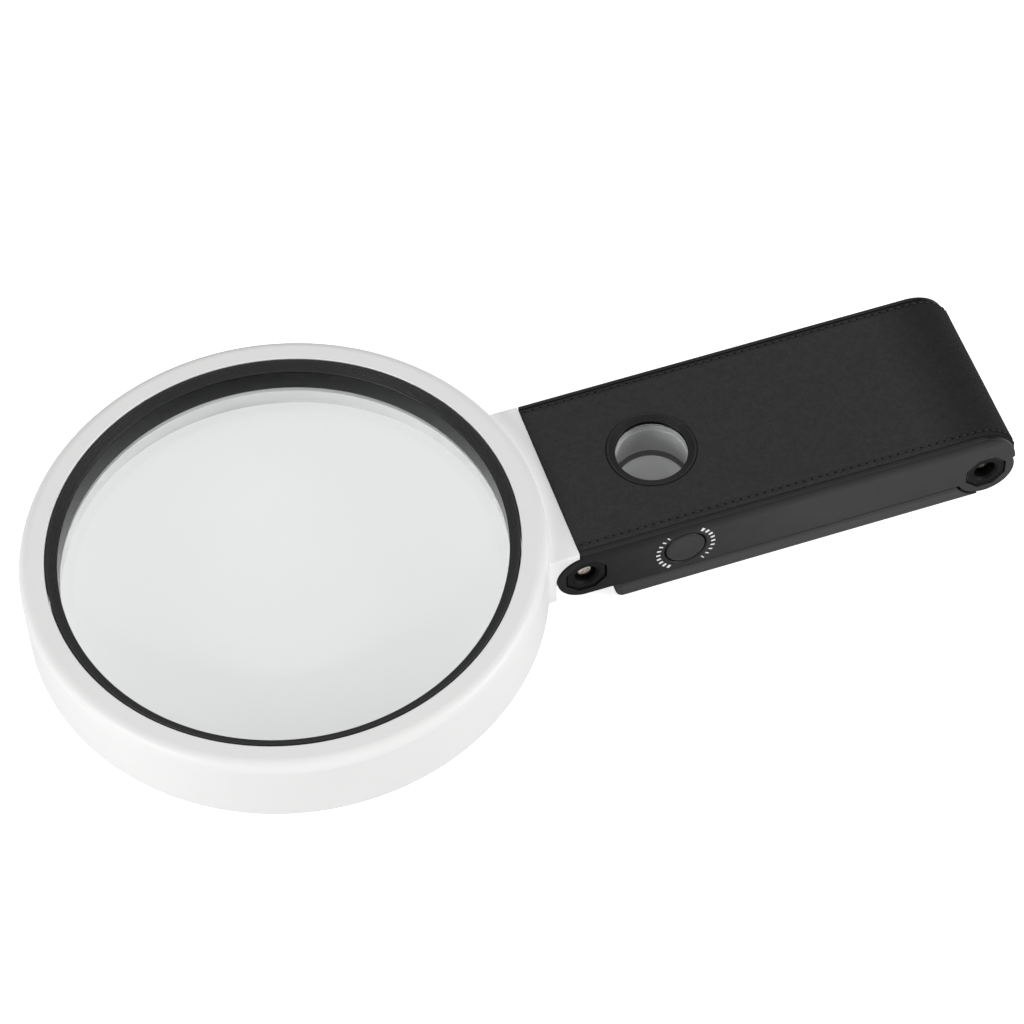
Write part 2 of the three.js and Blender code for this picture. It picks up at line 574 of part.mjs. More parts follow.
[-1, 0, 1].forEach((lane, i) => {
  const y = lane * BATTERY.pitch;
  const shoulder = BATTERY.length - BATTERY.slope;
  const tip = BATTERY.length + BATTERY.nub;
  const cell = turned([
    [0, 0], [BATTERY.radius, 0], [BATTERY.radius, shoulder], [BATTERY.nubRadius, BATTERY.length],
    [BATTERY.nubRadius, tip], [0, tip]
  ], SEGMENTS.hole);
  place(`battery_${i + 1}`, alongX(cell, BATTERY.start, y, BATTERY.z), 'cell');
  place(`battery_spring_${i + 1}`, contactSpring(
    CONTACT_X[0] + CONTACT.thick + SPRING.end, BATTERY.start - SPRING.end, y, BATTERY.z
  ), 'steel');
});
['front', 'rear'].forEach((end, i) => place(`battery_contact_${end}`, block(
  CONTACT_X[i], CONTACT_X[i] + CONTACT.thick, -CONTACT.y, CONTACT.y, CONTACT.z0, CONTACT.z1
), 'steel'));

// ---- base ---------------------------------------------------------------------------------
function baseShell() {
  const c = BASE_CORNER_R;
  const plan = outlineShape([
    ...arc(BASE_START + c, -HALF_WIDTH + c, c, 180, 270, 4),
    [BASE_END, -HALF_WIDTH], [BASE_END, HALF_WIDTH],
    ...arc(BASE_START + c, HALF_WIDTH - c, c, 90, 180, 4)
  ]);
  const lugRooms = SIDES.map(([, side]) => solid(rod(BASE_PIVOT.sweep,
    ...span(side, BARREL_HALF, PAST), SEGMENTS.frame, BASE_PIVOT.x, BASE_PIVOT.z)));
  const web = sideExtrude([
    [WEB_START, BASE_TOP], [WEB_START, BASE_BOTTOM], [BASE_END, BASE_BOTTOM], ...WEB_OUTLINE,
    [BASE_PIVOT.x - BASE_PIVOT.barrel, BASE_PIVOT.z], [WEB_TOP_X, BASE_TOP]
  ], -BARREL_HALF, BARREL_HALF);
  const barrel = rod(BASE_PIVOT.barrel, -BARREL_HALF, BARREL_HALF, SEGMENTS.loupe,
    BASE_PIVOT.x, BASE_PIVOT.z);
  const windowWall = solid(disc(WINDOW_R + WINDOW_WALL, -PAST, PAST, SEGMENTS.loupe, LOUPE_X));
  const cavity = cut(solid(block(BASE_CAVITY.x0, BASE_CAVITY.x1, -BASE_CAVITY.y, BASE_CAVITY.y,
    -PAST, BASE_CAVITY.top)), windowWall);
  const window = solid(disc(WINDOW_R, -PAST, PAST, SEGMENTS.loupe, LOUPE_X));
  const posts = corners(BASE_SCREWS).map((spot) =>
    boss(spot, BASE_COVER_TOP + GAP, BASE_CAVITY.top + GAP));
  const holes = corners(BASE_SCREWS).map((spot) => bossHole(spot, BASE_SCREW_TIP + GAP));
  const plate = cut(solid(planExtrude(plan, BASE_BOTTOM, BASE_TOP)), ...lugRooms);
  const hollow = cut(join(plate, solid(web), solid(barrel)), cavity, window,
    ...shankHoles(BASE_PIVOT.x, BASE_PIVOT.z));
  return cut(join(hollow, ...posts), ...holes);
}

function baseCover() {
  const plate = solid(block(BASE_CAVITY.x0 + GAP, BASE_CAVITY.x1 - GAP, -BASE_CAVITY.y + GAP,
    BASE_CAVITY.y - GAP, BASE_BOTTOM, BASE_COVER_TOP));
  const window = solid(disc(WINDOW_R + WINDOW_WALL + GAP, -PAST, PAST, SEGMENTS.loupe, LOUPE_X));
  const footSeats = corners(FOOT).map(([x, y]) => solid(disc(
    FOOT.radius + GAP, -PAST, BASE_BOTTOM + FOOT.inset + GAP, SEGMENTS.hole, x, y)));
  const sinks = corners(BASE_SCREWS).map((spot) => sunkHole(spot, BASE_BOTTOM + BASE_SINK));
  return cut(plate, window, ...footSeats, ...sinks);
}

place('base_shell', baseShell(), 'black');
place('base_bottom_cover', baseCover(), 'black');
corners(FOOT).forEach(([x, y], i) =>
  place(`base_foot_${i + 1}`, disc(FOOT.radius, BASE_BOTTOM - FOOT.proud,
    BASE_BOTTOM + FOOT.inset, SEGMENTS.hole, x, y), 'rubber'));
corners(BASE_SCREWS).forEach((spot, i) =>
  coverScrew(`base_screw_${i + 1}`, spot, BASE_BOTTOM + THIN_INSET, BASE_SCREW_TIP));

export default magnifier;
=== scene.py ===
import json
import math

import bmesh
import bpy
from mathutils import Matrix, Vector


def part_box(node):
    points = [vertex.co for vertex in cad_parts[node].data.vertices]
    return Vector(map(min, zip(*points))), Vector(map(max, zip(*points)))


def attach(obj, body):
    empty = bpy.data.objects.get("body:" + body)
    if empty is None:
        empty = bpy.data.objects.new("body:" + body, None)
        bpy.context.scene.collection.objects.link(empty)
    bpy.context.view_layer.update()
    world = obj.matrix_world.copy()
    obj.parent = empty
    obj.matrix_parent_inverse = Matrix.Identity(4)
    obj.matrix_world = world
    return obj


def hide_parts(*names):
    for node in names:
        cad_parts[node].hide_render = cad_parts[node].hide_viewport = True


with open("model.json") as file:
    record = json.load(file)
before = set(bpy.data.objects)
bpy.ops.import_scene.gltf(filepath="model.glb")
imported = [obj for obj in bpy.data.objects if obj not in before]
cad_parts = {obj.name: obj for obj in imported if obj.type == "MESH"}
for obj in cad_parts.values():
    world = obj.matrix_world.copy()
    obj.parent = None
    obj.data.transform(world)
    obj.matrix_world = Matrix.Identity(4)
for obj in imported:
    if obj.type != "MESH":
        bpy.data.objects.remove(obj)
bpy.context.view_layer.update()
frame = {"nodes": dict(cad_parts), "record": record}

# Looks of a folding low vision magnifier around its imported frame.
# Lengths are millimetres until to_row() places them, x = 0 at the lens end of the handle and
# z = 0 on top of the leather, as in the CAD source.

MM = 0.001
LEATHER_START = 0.35
leather_low, leather_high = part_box("leather_cover")
ORIGIN = Vector((leather_low.x - LEATHER_START * MM, 0, leather_high.z))


def node_mm(node):
    """Lowest and highest corner of a CAD node in the local millimetre frame."""
    low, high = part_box(node)
    return (low - ORIGIN) / MM, (high - ORIGIN) / MM


def middle_mm(node):
    low, high = node_mm(node)
    return (low + high) / 2


# ---- driving sizes read from the frame
HALF_WIDTH = node_mm("arm_shell")[1].y
LEATHER_HALF = node_mm("leather_cover")[1].y
STITCH_LINE = LEATHER_HALF - 1.6
ARM_BOTTOM = node_mm("arm_rear_cover")[0].z
BASE_LOW = node_mm("base_shell")[0]
HEAD = middle_mm("main_lens")
NECK_PIVOT = middle_mm("neck_hinge_bushing_left")
BASE_PIVOT = middle_mm("base_hinge_bushing_left")
LOUPE = middle_mm("small_lens")
BUTTON = middle_mm("brightness_button")
FRAME_LOW, FRAME_HIGH = node_mm("lens_frame")

# ---- shape sizes
GAP = 0.3
FRAME_R = 78.1
FRAME_WALL = 2.2
BORE_R = 70.3
SIGHT_R = 66.8
LEDGE_TOP = -9.1
LEDGE_BOTTOM = -11.3
COVER_LINE = -18.2
LUG_INNER = 24.4
BARREL_HALF = 24.1
NECK_LUG_R = 9.1
NECK_BARREL_R = 8.8
NECK_SWEEP_R = 9.4
BASE_LUG_R = 9.3
BASE_BARREL_R = 6.8
BASE_SWEEP_R = 10.1
BUSHING_FLATS = 12
BUSHING_SLACK = 0.4
END = (126.0, -14.4)
END_R = 14.4
RAIL_TOP = -1.0
LEATHER_THICK = 1.7
SEAT_Z = -2.0
TOP_WALL = 0.8
NECK_TOP = -0.9
BEZEL_R = 13.6
LOUPE_SIGHT_R = 10.9
TUBE_BORE_R = 11
WINDOW_R = 13
FRAME_SCREW_R = 69.4
LAMP_RING_R = (72.1, 75.4)
MAIN_LENS = (69, 66.4, 7, -6.3, -8.8)  # rim and dome radius, dome height, rim top and bottom
SMALL_LENS = (12.4, 10.6, 0.8, -3.6, -5.2)
BUSHING_INNER, BUSHING_OUTER = 24.7, 29.1
BUSHING_MOUTH_R, BUSHING_BORE_R = 4.1, 3.4
PIVOT_HOLE_R = 2.2
CAVITY_HALF = 26.7
DOOR_SCREW_X = 51
BASE_TOP = -22.2
BASE_BOTTOM = -27.7
BASE_END = 128.1
LED_COUNT = 8
LED_R = 73.8
FINE = 224  # segments round the large lens


# ---- outlines
def arc(cx, cy, r, start, end, steps):
    """Points of an arc, angles in degrees."""
    turn = [math.radians(start + (end - start) * i / steps) for i in range(steps + 1)]
    return [(cx + r * math.cos(a), cy + r * math.sin(a)) for a in turn]


def soften(corners, radius, steps=4):
    """A closed outline with each corner turned into an arc. A corner may carry its own radius."""
    count = len(corners)
    made = []
    for i, corner in enumerate(corners):
        here = Vector(corner[:2])
        back = Vector(corners[i - 1][:2]) - here
        ahead = Vector(corners[(i + 1) % count][:2]) - here
        r = corner[2] if len(corner) > 2 else radius
        half = back.angle(ahead) / 2
        if r <= 0 or half > math.radians(88):
            made.append(tuple(here))
            continue
        reach = min(r / math.tan(half), back.length * 0.45, ahead.length * 0.45)
        r = reach * math.tan(half)
        centre = here + (back.normalized() + ahead.normalized()).normalized() * r / math.sin(half)
        first = here + back.normalized() * reach - centre
        last = here + ahead.normalized() * reach - centre
        sweep = first.angle_signed(last)
        for k in range(steps + 1):
            turned = first.copy()
            turned.rotate(Matrix.Rotation(-sweep * k / steps, 2))
            made.append(tuple(centre + turned))
    return made


def signed_area(points):
    ends = zip(points, points[1:] + points[:1])
    return sum(a[0] * b[1] - b[0] * a[1] for a, b in ends) / 2


def rectangle(x0, x1, y0, y1):
    return [(x0, y0), (x1, y0), (x1, y1), (x0, y1)]


# ---- meshes
def to_row(point):
    return Vector(point) * MM + ORIGIN


def build(name, points, faces):
    """A mesh object from local millimetre points, its faces turned outward."""
    mesh = bpy.data.meshes.new(name)
    mesh.from_pydata([to_row(p) for p in points], [], faces)
    work = bmesh.new()
    work.from_mesh(mesh)
    bmesh.ops.remove_doubles(work, verts=work.verts, dist=1e-7)
    bmesh.ops.recalc_face_normals(work, faces=work.faces)
    work.to_mesh(mesh)
    work.free()
    made = bpy.data.objects.new(name, mesh)
    bpy.context.scene.collection.objects.link(made)
    return made


def revolve(name, outline, segments, centre=(0, 0, 0), axis="Z"):
    """Solid of revolution from (radius, height) points, closed or ending on the axis."""
    points, rings = [], []
    for r, h in outline:
        count = 1 if r < 1e-6 else segments
        rings.append(range(len(points), len(points) + count))
        for k in range(count):
            a = 2 * math.pi * k / segments
            flat = (r * math.cos(a), r * math.sin(a), h)
            x, y, z = flat if axis == "Z" else (flat[0], flat[2], flat[1])
            points.append((centre[0] + x, centre[1] + y, centre[2] + z))
    faces = []
    closed = outline[0][0] > 1e-6 or outline[-1][0] > 1e-6
    pairs = list(zip(rings, rings[1:])) + ([(rings[-1], rings[0])] if closed else [])
    for low, high in pairs:
        for k in range(segments):
            j = (k + 1) % segments
            corners = [low[k % len(low)], low[j % len(low)], high[j % len(high)],
                       high[k % len(high)]]
            face = list(dict.fromkeys(corners))
            if len(face) > 2:
                faces.append(face)
    return build(name, points, faces)


def inward(outline):
    """Mitred inward direction at each point of a counterclockwise outline."""
    count = len(outline)
    made = []
    for i in range(count):
        here = Vector(outline[i])
        before = (here - Vector(outline[i - 1])).normalized()
        after = (Vector(outline[(i + 1) % count]) - here).normalized()
        normal = Vector((-before.y - after.y, before.x + after.x)).normalized()
        lean = max(0.35, normal.dot(Vector((-after.y, after.x))))
        made.append(normal / lean)
    return made


def prism(name, outline, low, high, radius=0.0, axis="Y", steps=4, high_radius=None):
    """Prism of an outline with rounded rims. high_radius is for an upper rim that differs.

    axis Y extrudes an (x, z) outline across the handle, axis Z an (x, y) outline upward.
    """
    if signed_area(outline) < 0:
        outline = outline[::-1]
    if high_radius is None:
        high_radius = radius
    levels = []
    for end, side, r in ((low, 1, radius), (high, -1, high_radius)):
        turns = [k / steps * math.pi / 2 for k in range(steps + 1)] if r else [math.pi / 2]
        levels += [(end, side, r, a) for a in turns][::side]
    normals = inward(outline)
    count = len(outline)
    points = []
    for end, side, r, a in levels:
        for spot, normal in zip(outline, normals):
            moved = Vector(spot) + normal * r * (1 - math.sin(a))
            along = end + side * r * (1 - math.cos(a))
            points.append((moved.x, along, moved.y) if axis == "Y" else (moved.x, moved.y, along))
    faces = [list(range(count)), list(range(len(points) - count, len(points)))]
    for level in range(len(levels) - 1):
        start = level * count
        for k in range(count):
            j = (k + 1) % count
            faces.append([start + k, start + j, start + count + j, start + count + k])
    return build(name, points, faces)


def block(name, x, y, z):
    return prism(name, rectangle(*x, *y), *z, axis="Z")


def combine(target, others, operation="DIFFERENCE"):
    """Joins or cuts target with the other meshes, which are used up."""
    for other in others:
        change = target.modifiers.new("cut", "BOOLEAN")
        change.operation = operation
        change.solver = "EXACT"
        change.object = other
        bpy.context.view_layer.update()
        depsgraph = bpy.context.evaluated_depsgraph_get()
        result = bpy.data.meshes.new_from_object(target.evaluated_get(depsgraph))
        target.modifiers.clear()
        old = target.data
        target.data = result
        bpy.data.meshes.remove(old)
        used = other.data
        bpy.data.objects.remove(other)
        bpy.data.meshes.remove(used)
    return target


def shade(piece, angle=32, weighted=True):
    """Smooth shading that keeps flat faces flat and edges sharper than angle crisp."""
    mesh = piece.data
    for face in mesh.polygons:
        face.use_smooth = True
    mesh.set_sharp_from_angle(angle=math.radians(angle))
    if weighted:
        normals = piece.modifiers.new("normals", "WEIGHTED_NORMAL")
        normals.keep_sharp = True
    return piece


# ---- materials
def row_x(x):
    return x * MM + ORIGIN.x


def row_z(z):
    return z * MM + ORIGIN.z


class Nodes:
    """Small helper that writes one node material."""

    def __init__(self, name):
        self.material = bpy.data.materials.new(name)
        self.material.use_nodes = True
        self.tree = self.material.node_tree
        self.surface = self.tree.nodes["Principled BSDF"]
        self.coordinates = self.add("ShaderNodeTexCoord").outputs["Object"]

    def add(self, kind, **values):
        node = self.tree.nodes.new(kind)
        for key, value in values.items():
            if hasattr(node, key):
                setattr(node, key, value)
            else:
                node.inputs[key.replace("_", " ")].default_value = value
        return node

    def link(self, out, into):
        self.tree.links.new(out, into)

    def feed(self, socket, value):
        """Sets one input, or links it when the value comes from another node."""
        if isinstance(value, bpy.types.NodeSocket):
            self.link(value, socket)
        else:
            socket.default_value = value

    def put(self, **inputs):
        for key, value in inputs.items():
            self.feed(self.surface.inputs[key.replace("_", " ")], value)

    def noise(self, scale, detail=3.0, roughness=0.55):
        node = self.add("ShaderNodeTexNoise", Scale=scale, Detail=detail, Roughness=roughness)
        self.link(self.coordinates, node.inputs["Vector"])
        return node.outputs["Fac"]

    def cells(self, scale, feature="DISTANCE_TO_EDGE"):
        node = self.add("ShaderNodeTexVoronoi", feature=feature, Scale=scale)
        self.link(self.coordinates, node.inputs["Vector"])
        return node.outputs["Distance"]

    def spread(self, value, low, high, start=0.0, end=1.0):
        """Maps start..end of a value to low..high."""
        node = self.add("ShaderNodeMapRange")
        for key, number in (("From Min", start), ("From Max", end), ("To Min", low),
                            ("To Max", high)):
            node.inputs[key].default_value = number
        self.link(value, node.inputs["Value"])
        return node.outputs["Result"]

    def axis(self, letter):
        node = self.add("ShaderNodeSeparateXYZ")
        self.link(self.coordinates, node.inputs[0])
        return node.outputs[letter]

    def patches(self, scale, detail, low=0, high=1, roughness=0.55):
        """Noise stretched over low..high."""
        return self.spread(self.noise(scale, detail, roughness), low, high, 0.3, 0.7)

    def maths(self, operation, *values):
        node = self.add("ShaderNodeMath", operation=operation)
        for socket, value in zip(node.inputs, values):
            self.feed(socket, value)
        return node.outputs[0]

    def blend(self, value, low, high):
        """From a fixed colour to another one, or to a colour that comes from another node."""
        node = self.add("ShaderNodeMix", data_type="RGBA")
        self.link(value, node.inputs[0])
        node.inputs[6].default_value = (*low, 1)
        self.feed(node.inputs[7], (*high, 1) if isinstance(high, tuple) else high)
        return node.outputs[2]

    def bump(self, height, distance, strength=1.0, below=None):
        node = self.add("ShaderNodeBump", Strength=strength, Distance=distance)
        self.link(height, node.inputs["Height"])
        if below is not None:
            self.link(below, node.inputs["Normal"])
        return node.outputs["Normal"]

    def clear_where(self, share, tint=(1, 1, 1)):
        """Lets rays straight through where share is 1."""
        clear = self.add("ShaderNodeBsdfTransparent", Color=(*tint, 1))
        mix = self.add("ShaderNodeMixShader")
        self.link(share, mix.inputs["Fac"])
        self.link(self.surface.outputs["BSDF"], mix.inputs[1])
        self.link(clear.outputs["BSDF"], mix.inputs[2])
        self.link(mix.outputs["Shader"], self.tree.nodes["Material Output"].inputs["Surface"])


def moulded_nodes(name, dark, light, rough, grain, depth, gloss=0.5, drift=0.045):
    """Moulded plastic: slight tone drift, uneven sheen and the fine grain of the mould."""
    n = Nodes(name)
    n.colour = n.blend(n.patches(28, 2), dark, light)
    n.put(Base_Color=n.colour, Roughness=n.patches(160, 4, rough - drift, rough + drift),
          Normal=n.bump(n.noise(grain, 2), depth * MM), Specular_IOR_Level=gloss)
    return n


def moulded(*sizes, **options):
    return moulded_nodes(*sizes, **options).material


def glowing_material(name, dark, light, glow):
    """Pale plastic with a painted glow standing in for the light of the page under the window."""
    n = moulded_nodes(name, dark, light, 0.35, 2600, 0.003)
    n.put(Emission_Color=(1, 1, 1, 1), Emission_Strength=glow)
    return n.material


def frame_white_material():
    """White moulding with a painted glow on the thin neck that lifts the shade the rim casts there,
    so that it is as bright as the rim.
    """
    n = moulded_nodes("frame_white_plastic", (0.755, 0.755, 0.752), (0.77, 0.77, 0.766), 0.4,
                      2400, 0.001, gloss=0.4, drift=0.015)
    flat = n.add("ShaderNodeVectorMath", operation="MULTIPLY")
    flat.inputs[1].default_value = (1, 1, 0)
    n.link(n.coordinates, flat.inputs[0])
    away = n.add("ShaderNodeVectorMath", operation="DISTANCE")
    away.inputs[1].default_value = (row_x(HEAD.x), 0, 0)
    n.link(flat.outputs["Vector"], away.inputs[0])
    away = away.outputs["Value"]
    # painted light: glow on the neck, strongest beside the rim, cancelling its shade
    on_neck = n.spread(away, 0, 1, (FRAME_R + 0.1) * MM, (FRAME_R + 0.3) * MM)
    lift = n.spread(away, 0.2, 0.06, FRAME_R * MM, (FRAME_R + 5) * MM)
    n.put(Emission_Color=(1, 1, 1, 1), Emission_Strength=n.maths("MULTIPLY", on_neck, lift))
    return n.material


def stepped_black_material(name, deep, lighter_above, start, end, sheen):
    """Glossy black with painted shade: deep, with weaker specular, below a height where the recess
    lies in shade, and a little lighter above it.
    """
    n = Nodes(name)
    share = n.spread(n.axis("Z"), 0, 1, row_z(start), row_z(end))
    n.put(Base_Color=n.blend(share, deep, lighter_above), Roughness=n.spread(share, 0.24, 0.36),
          Specular_IOR_Level=n.spread(share, *sheen), Normal=n.bump(n.noise(2600, 2), 0.002 * MM))
    return n.material


def arm_black_material():
    """The handle's moulded black, with painted shade: darker and matt on the sides just under the
    rails and toward the neck, where shade falls.
    """
    n = moulded_nodes("handle_black_plastic", (0.0135, 0.0138, 0.0145), (0.018, 0.0182, 0.019),
                      0.42, 5200, 0.012)
    # painted shade under the rails and toward the neck; the rail tops keep the plain tone
    height = n.spread(n.axis("Z"), 1.0, 0.03, row_z(-6.3), row_z(-1.3))
    reach = n.spread(n.axis("X"), 0.2, 1.0, row_x(8), row_x(68))
    top = n.spread(n.axis("Z"), 0.0, 0.85, row_z(-1.7), row_z(-1.1))
    sheen = n.maths("MAXIMUM", n.maths("MULTIPLY", height, reach), top)
    n.put(Base_Color=n.blend(sheen, (0.0085, 0.0087, 0.009), n.colour),
          Specular_IOR_Level=n.spread(sheen, 0.06, 0.37))
    return n.material


def leather_material():
    """Fine pebbled leather, with painted shade: darker and less shiny from the stitching outward,
    where groove and thread cast shade, and toward its folded end.
    """
    n = Nodes("black_leather")
    across = n.maths("ABSOLUTE", n.axis("Y"))
    # painted shade: colour and shine drop from the stitching outward and toward the folded end
    edge = n.spread(across, 1.0, 0.8, (STITCH_LINE - 1.2) * MM, (STITCH_LINE - 0.4) * MM)
    end = n.spread(n.axis("X"), 1.0, 0.3, row_x(112), row_x(139))
    painted_shade = n.maths("MULTIPLY", edge, end)
    pebble = n.spread(n.cells(1250), 0, 1, 0.0, 0.16)
    pores = n.spread(n.cells(3100), 0, 1, 0.0, 0.2)
    base = n.bump(n.noise(240, 4), 0.10 * MM, 0.6)
    grain = n.bump(pebble, 0.05 * MM, 0.9, base)
    fine = n.bump(pores, 0.015 * MM, 0.7, grain)
    colour = n.blend(n.patches(620, 5, roughness=0.85), (0.015, 0.015, 0.0155),
                     (0.030, 0.0295, 0.0295))
    n.put(Base_Color=n.blend(painted_shade, (0.001, 0.001, 0.001), colour), Normal=fine,
          Roughness=n.spread(pebble, 0.78, 0.6), Specular_IOR_Level=n.spread(painted_shade, 0.0, 0.27))
    return n.material


def clear_material(name, tint, ior):
    """Optical plastic that lets light through to what lies under it."""
    n = Nodes(name)
    n.put(Base_Color=(*tint, 1), Roughness=n.patches(30, 2, 0.0, 0.012), IOR=ior,
          Transmission_Weight=1.0)
    n.clear_where(n.add("ShaderNodeLightPath").outputs["Is Shadow Ray"], (0.97, 0.975, 0.975))
    return n.material


def metal(name, dark, light, rough):
    n = Nodes(name)
    n.put(Base_Color=n.blend(n.patches(900, 4), dark, light), Metallic=1.0,
          Roughness=n.patches(2400, 2, rough, rough + 0.18),
          Normal=n.bump(n.noise(3000, 2), 0.004 * MM))
    return n.material


def board_material():
    n = Nodes("board_green")
    tracks = n.spread(n.cells(420), 0, 1, 0.02, 0.05)
    n.put(Base_Color=n.blend(tracks, (0.05, 0.2, 0.07), (0.012, 0.075, 0.03)),
          Roughness=0.35, Normal=n.bump(tracks, 0.02 * MM))
    return n.material


def cell_material():
    n = Nodes("cell_sleeve")
    bands = n.add("ShaderNodeTexWave", wave_type="BANDS", bands_direction="X", Scale=9.0)
    n.link(n.coordinates, bands.inputs["Vector"])
    n.put(Base_Color=n.blend(bands.outputs["Fac"], (0.02, 0.06, 0.2), (0.3, 0.32, 0.34)),
          Roughness=n.spread(n.noise(200), 0.25, 0.4), Metallic=0.4)
    return n.material


def lamp_material():
    n = Nodes("lamp_phosphor")
    n.put(Base_Color=n.blend(n.patches(2500, 2), (0.8, 0.62, 0.2), (0.9, 0.76, 0.36)),
          Roughness=0.25, Coat_Weight=1.0)
    return n.material


def frosted_material():
    n = Nodes("frosted_diffuser")
    n.put(Base_Color=n.blend(n.noise(90, 2), (0.78, 0.79, 0.78), (0.86, 0.87, 0.86)),
          Roughness=0.5, Transmission_Weight=0.35, IOR=1.45,
          Normal=n.bump(n.noise(5000, 2), 0.01 * MM))
    return n.material


WHITE = moulded("white_plastic", (0.755, 0.755, 0.752), (0.77, 0.77, 0.766), 0.4, 2400, 0.001,
                gloss=0.4, drift=0.015)
FRAME_WHITE = frame_white_material()
BLACK = moulded("black_plastic", (0.0125, 0.0128, 0.0135), (0.017, 0.0172, 0.018), 0.42, 5200,
                0.012, gloss=0.34)
BASE_BLACK = moulded("base_black_plastic", (0.030, 0.0303, 0.031), (0.035, 0.0353, 0.036), 0.42,
                     5200, 0.012, gloss=0.4)
ARM_BLACK = arm_black_material()
GLOSS = moulded("gloss_black_plastic", (0.010, 0.010, 0.0105), (0.013, 0.013, 0.0135), 0.24,
                2600, 0.002, gloss=0.3, drift=0.03)
# painted shade on the ring's inner wall below its bevel
RING_BLACK = stepped_black_material("ring_black_plastic", (0.0055, 0.0055, 0.006),
                                    (0.023, 0.023, 0.0235), FRAME_HIGH.z - 2.5,
                                    FRAME_HIGH.z - 2.2, (0.27, 0.32))
# painted shade in the bezel's bore below its steps
BEZEL_BLACK = stepped_black_material("bezel_black_plastic", (0.002, 0.002, 0.002),
                                     (0.0155, 0.0155, 0.016), -1.0, -0.75, (0.08, 0.34))
# painted shade: near black for the deep insides of the bushing holes
BORE_SHADE = moulded("bore_painted_shade", (0.002, 0.002, 0.002), (0.004, 0.004, 0.004), 0.5, 2600, 0.01,
                 gloss=0.12)
TUBE = moulded("pale_tube_plastic", (0.5, 0.5, 0.5), (0.56, 0.56, 0.555), 0.35, 2600, 0.003)
# painted light: the window sleeves glow to stand in for light from the page
GLOW = glowing_material("page_glow_painted_plastic", (0.8, 0.8, 0.8), (0.86, 0.86, 0.855), 0.09)
RUBBER = moulded("foot_rubber", (0.009, 0.009, 0.009), (0.016, 0.016, 0.016), 0.78, 2600, 0.03,
                 gloss=0.25)
PRINT = moulded("white_print", (0.72, 0.72, 0.71), (0.8, 0.8, 0.79), 0.5, 4000, 0.003)
THREAD = moulded("waxed_thread", (0.014, 0.014, 0.014), (0.022, 0.022, 0.022), 0.65, 9000, 0.05,
                 gloss=0.3)
# painted shade: near black for the dots that stand for needle holes
HOLE_SHADE = moulded("needle_hole", (0.004, 0.004, 0.004), (0.006, 0.006, 0.006), 0.8, 4000, 0.01,
                gloss=0.05)
LEATHER = leather_material()
LENS = clear_material("optical_acrylic", (0.82, 0.828, 0.828), 1.49)
STEEL = metal("plated_screw", (0.56, 0.49, 0.42), (0.82, 0.76, 0.68), 0.2)
NICKEL = metal("nickel_spring", (0.5, 0.5, 0.49), (0.7, 0.7, 0.68), 0.25)
BOARD = board_material()
CELL = cell_material()
LAMP = lamp_material()
FROSTED = frosted_material()

SLOT_OF = {
    "white_plastic": WHITE, "black_plastic": BLACK, "gloss_black": GLOSS, "leather": LEATHER,
    "lens": LENS, "frosted": FROSTED, "steel": STEEL, "circuit_board": BOARD, "lamp": LAMP,
    "cell": CELL, "rubber": RUBBER,
}


def dress(piece, material, slot, body, *nodes, angle=32, weighted=True):
    """Material, shading, CAD body and the CAD nodes that the piece stands for. The slot argument is
    not used.
    """
    piece.data.materials.clear()
    piece.data.materials.append(material)
    shade(piece, angle, weighted)
    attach(piece, body)
    if nodes:
        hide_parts(*nodes)
    return piece


# ---- CAD nodes that stay: hidden or simple pieces
def dress_cad_nodes():
    slots = {s["node"]: s["material_slot"] for s in frame["record"]["subparts"]}
    for name, node in frame["nodes"].items():
        material = NICKEL if "spring" in name or "contact" in name else SLOT_OF[slots[name]]
        node.data.materials.clear()
        node.data.materials.append(material)


# ---- lens head
def side_cut(r, low, high, x, z, segments=96):
    return revolve("cutter", [(0, low), (r, low), (r, high), (0, high)], segments, (x, 0, z), "Y")


def up_cut(r, low, high, x=0.0, y=0.0, segments=128):
    return revolve("cutter", [(0, low), (r, low), (r, high), (0, high)], segments, (x, y, 0))


def on_both_sides(make):
    return [make(side) for side in (-1, 1)]


def span(side, a, b):
    return sorted((side * a, side * b))


def pivot_holes(pivot):
    """Holes for the two hinge screws in the ends of a barrel."""
    return on_both_sides(lambda side: side_cut(PIVOT_HOLE_R, *span(side, BARREL_HALF + 1, 15),
                                               pivot.x, pivot.z, 32))


def screw_sink(x, y, face, depth, mouth=2.5, chamfer=0.3):
    """Cutter for a sunk screw head in a lower face, with the shank's hole above it."""
    return revolve("cutter", [(0, face - 2), (mouth, face - 2), (mouth, face),
                              (2.2, face + chamfer), (2.2, face + depth), (1.3, face + depth),
                              (1.3, face + 8), (0, face + 8)], 40, (x, y, 0))


def screw_sinks(stem, face, depth):
    spots = [middle_mm(f"{stem}_{i + 1}") for i in range(4)]
    return [screw_sink(spot.x, spot.y, face, depth) for spot in spots]


def make_neck():
    tip = LEATHER_START - GAP
    start = HEAD.x + FRAME_R - 16
    lean = math.degrees(math.acos((tip - NECK_PIVOT.x) / NECK_SWEEP_R))
    cheeks = prism("neck", [
        (start, NECK_TOP), (start, FRAME_LOW.z), (NECK_PIVOT.x - NECK_SWEEP_R, FRAME_LOW.z),
        *arc(NECK_PIVOT.x, NECK_PIVOT.z, NECK_SWEEP_R, 180, lean, 20), (tip, NECK_TOP),
    ], -HALF_WIDTH, HALF_WIDTH, 0.5)
    middle = prism("middle", soften(rectangle(start, tip, FRAME_LOW.z, NECK_TOP), 0.4),
                   -BARREL_HALF, BARREL_HALF, 0.3)
    barrel = prism("barrel", arc(NECK_PIVOT.x, NECK_PIVOT.z, NECK_BARREL_R, 0, 354, 59),
                   -BARREL_HALF, BARREL_HALF, 0.6)
    neck = combine(cheeks, [middle, barrel], "UNION")
    inside = up_cut(FRAME_R - FRAME_WALL + 0.4, -30, 10, HEAD.x, segments=FINE)
    return combine(neck, [inside, *pivot_holes(NECK_PIVOT)])


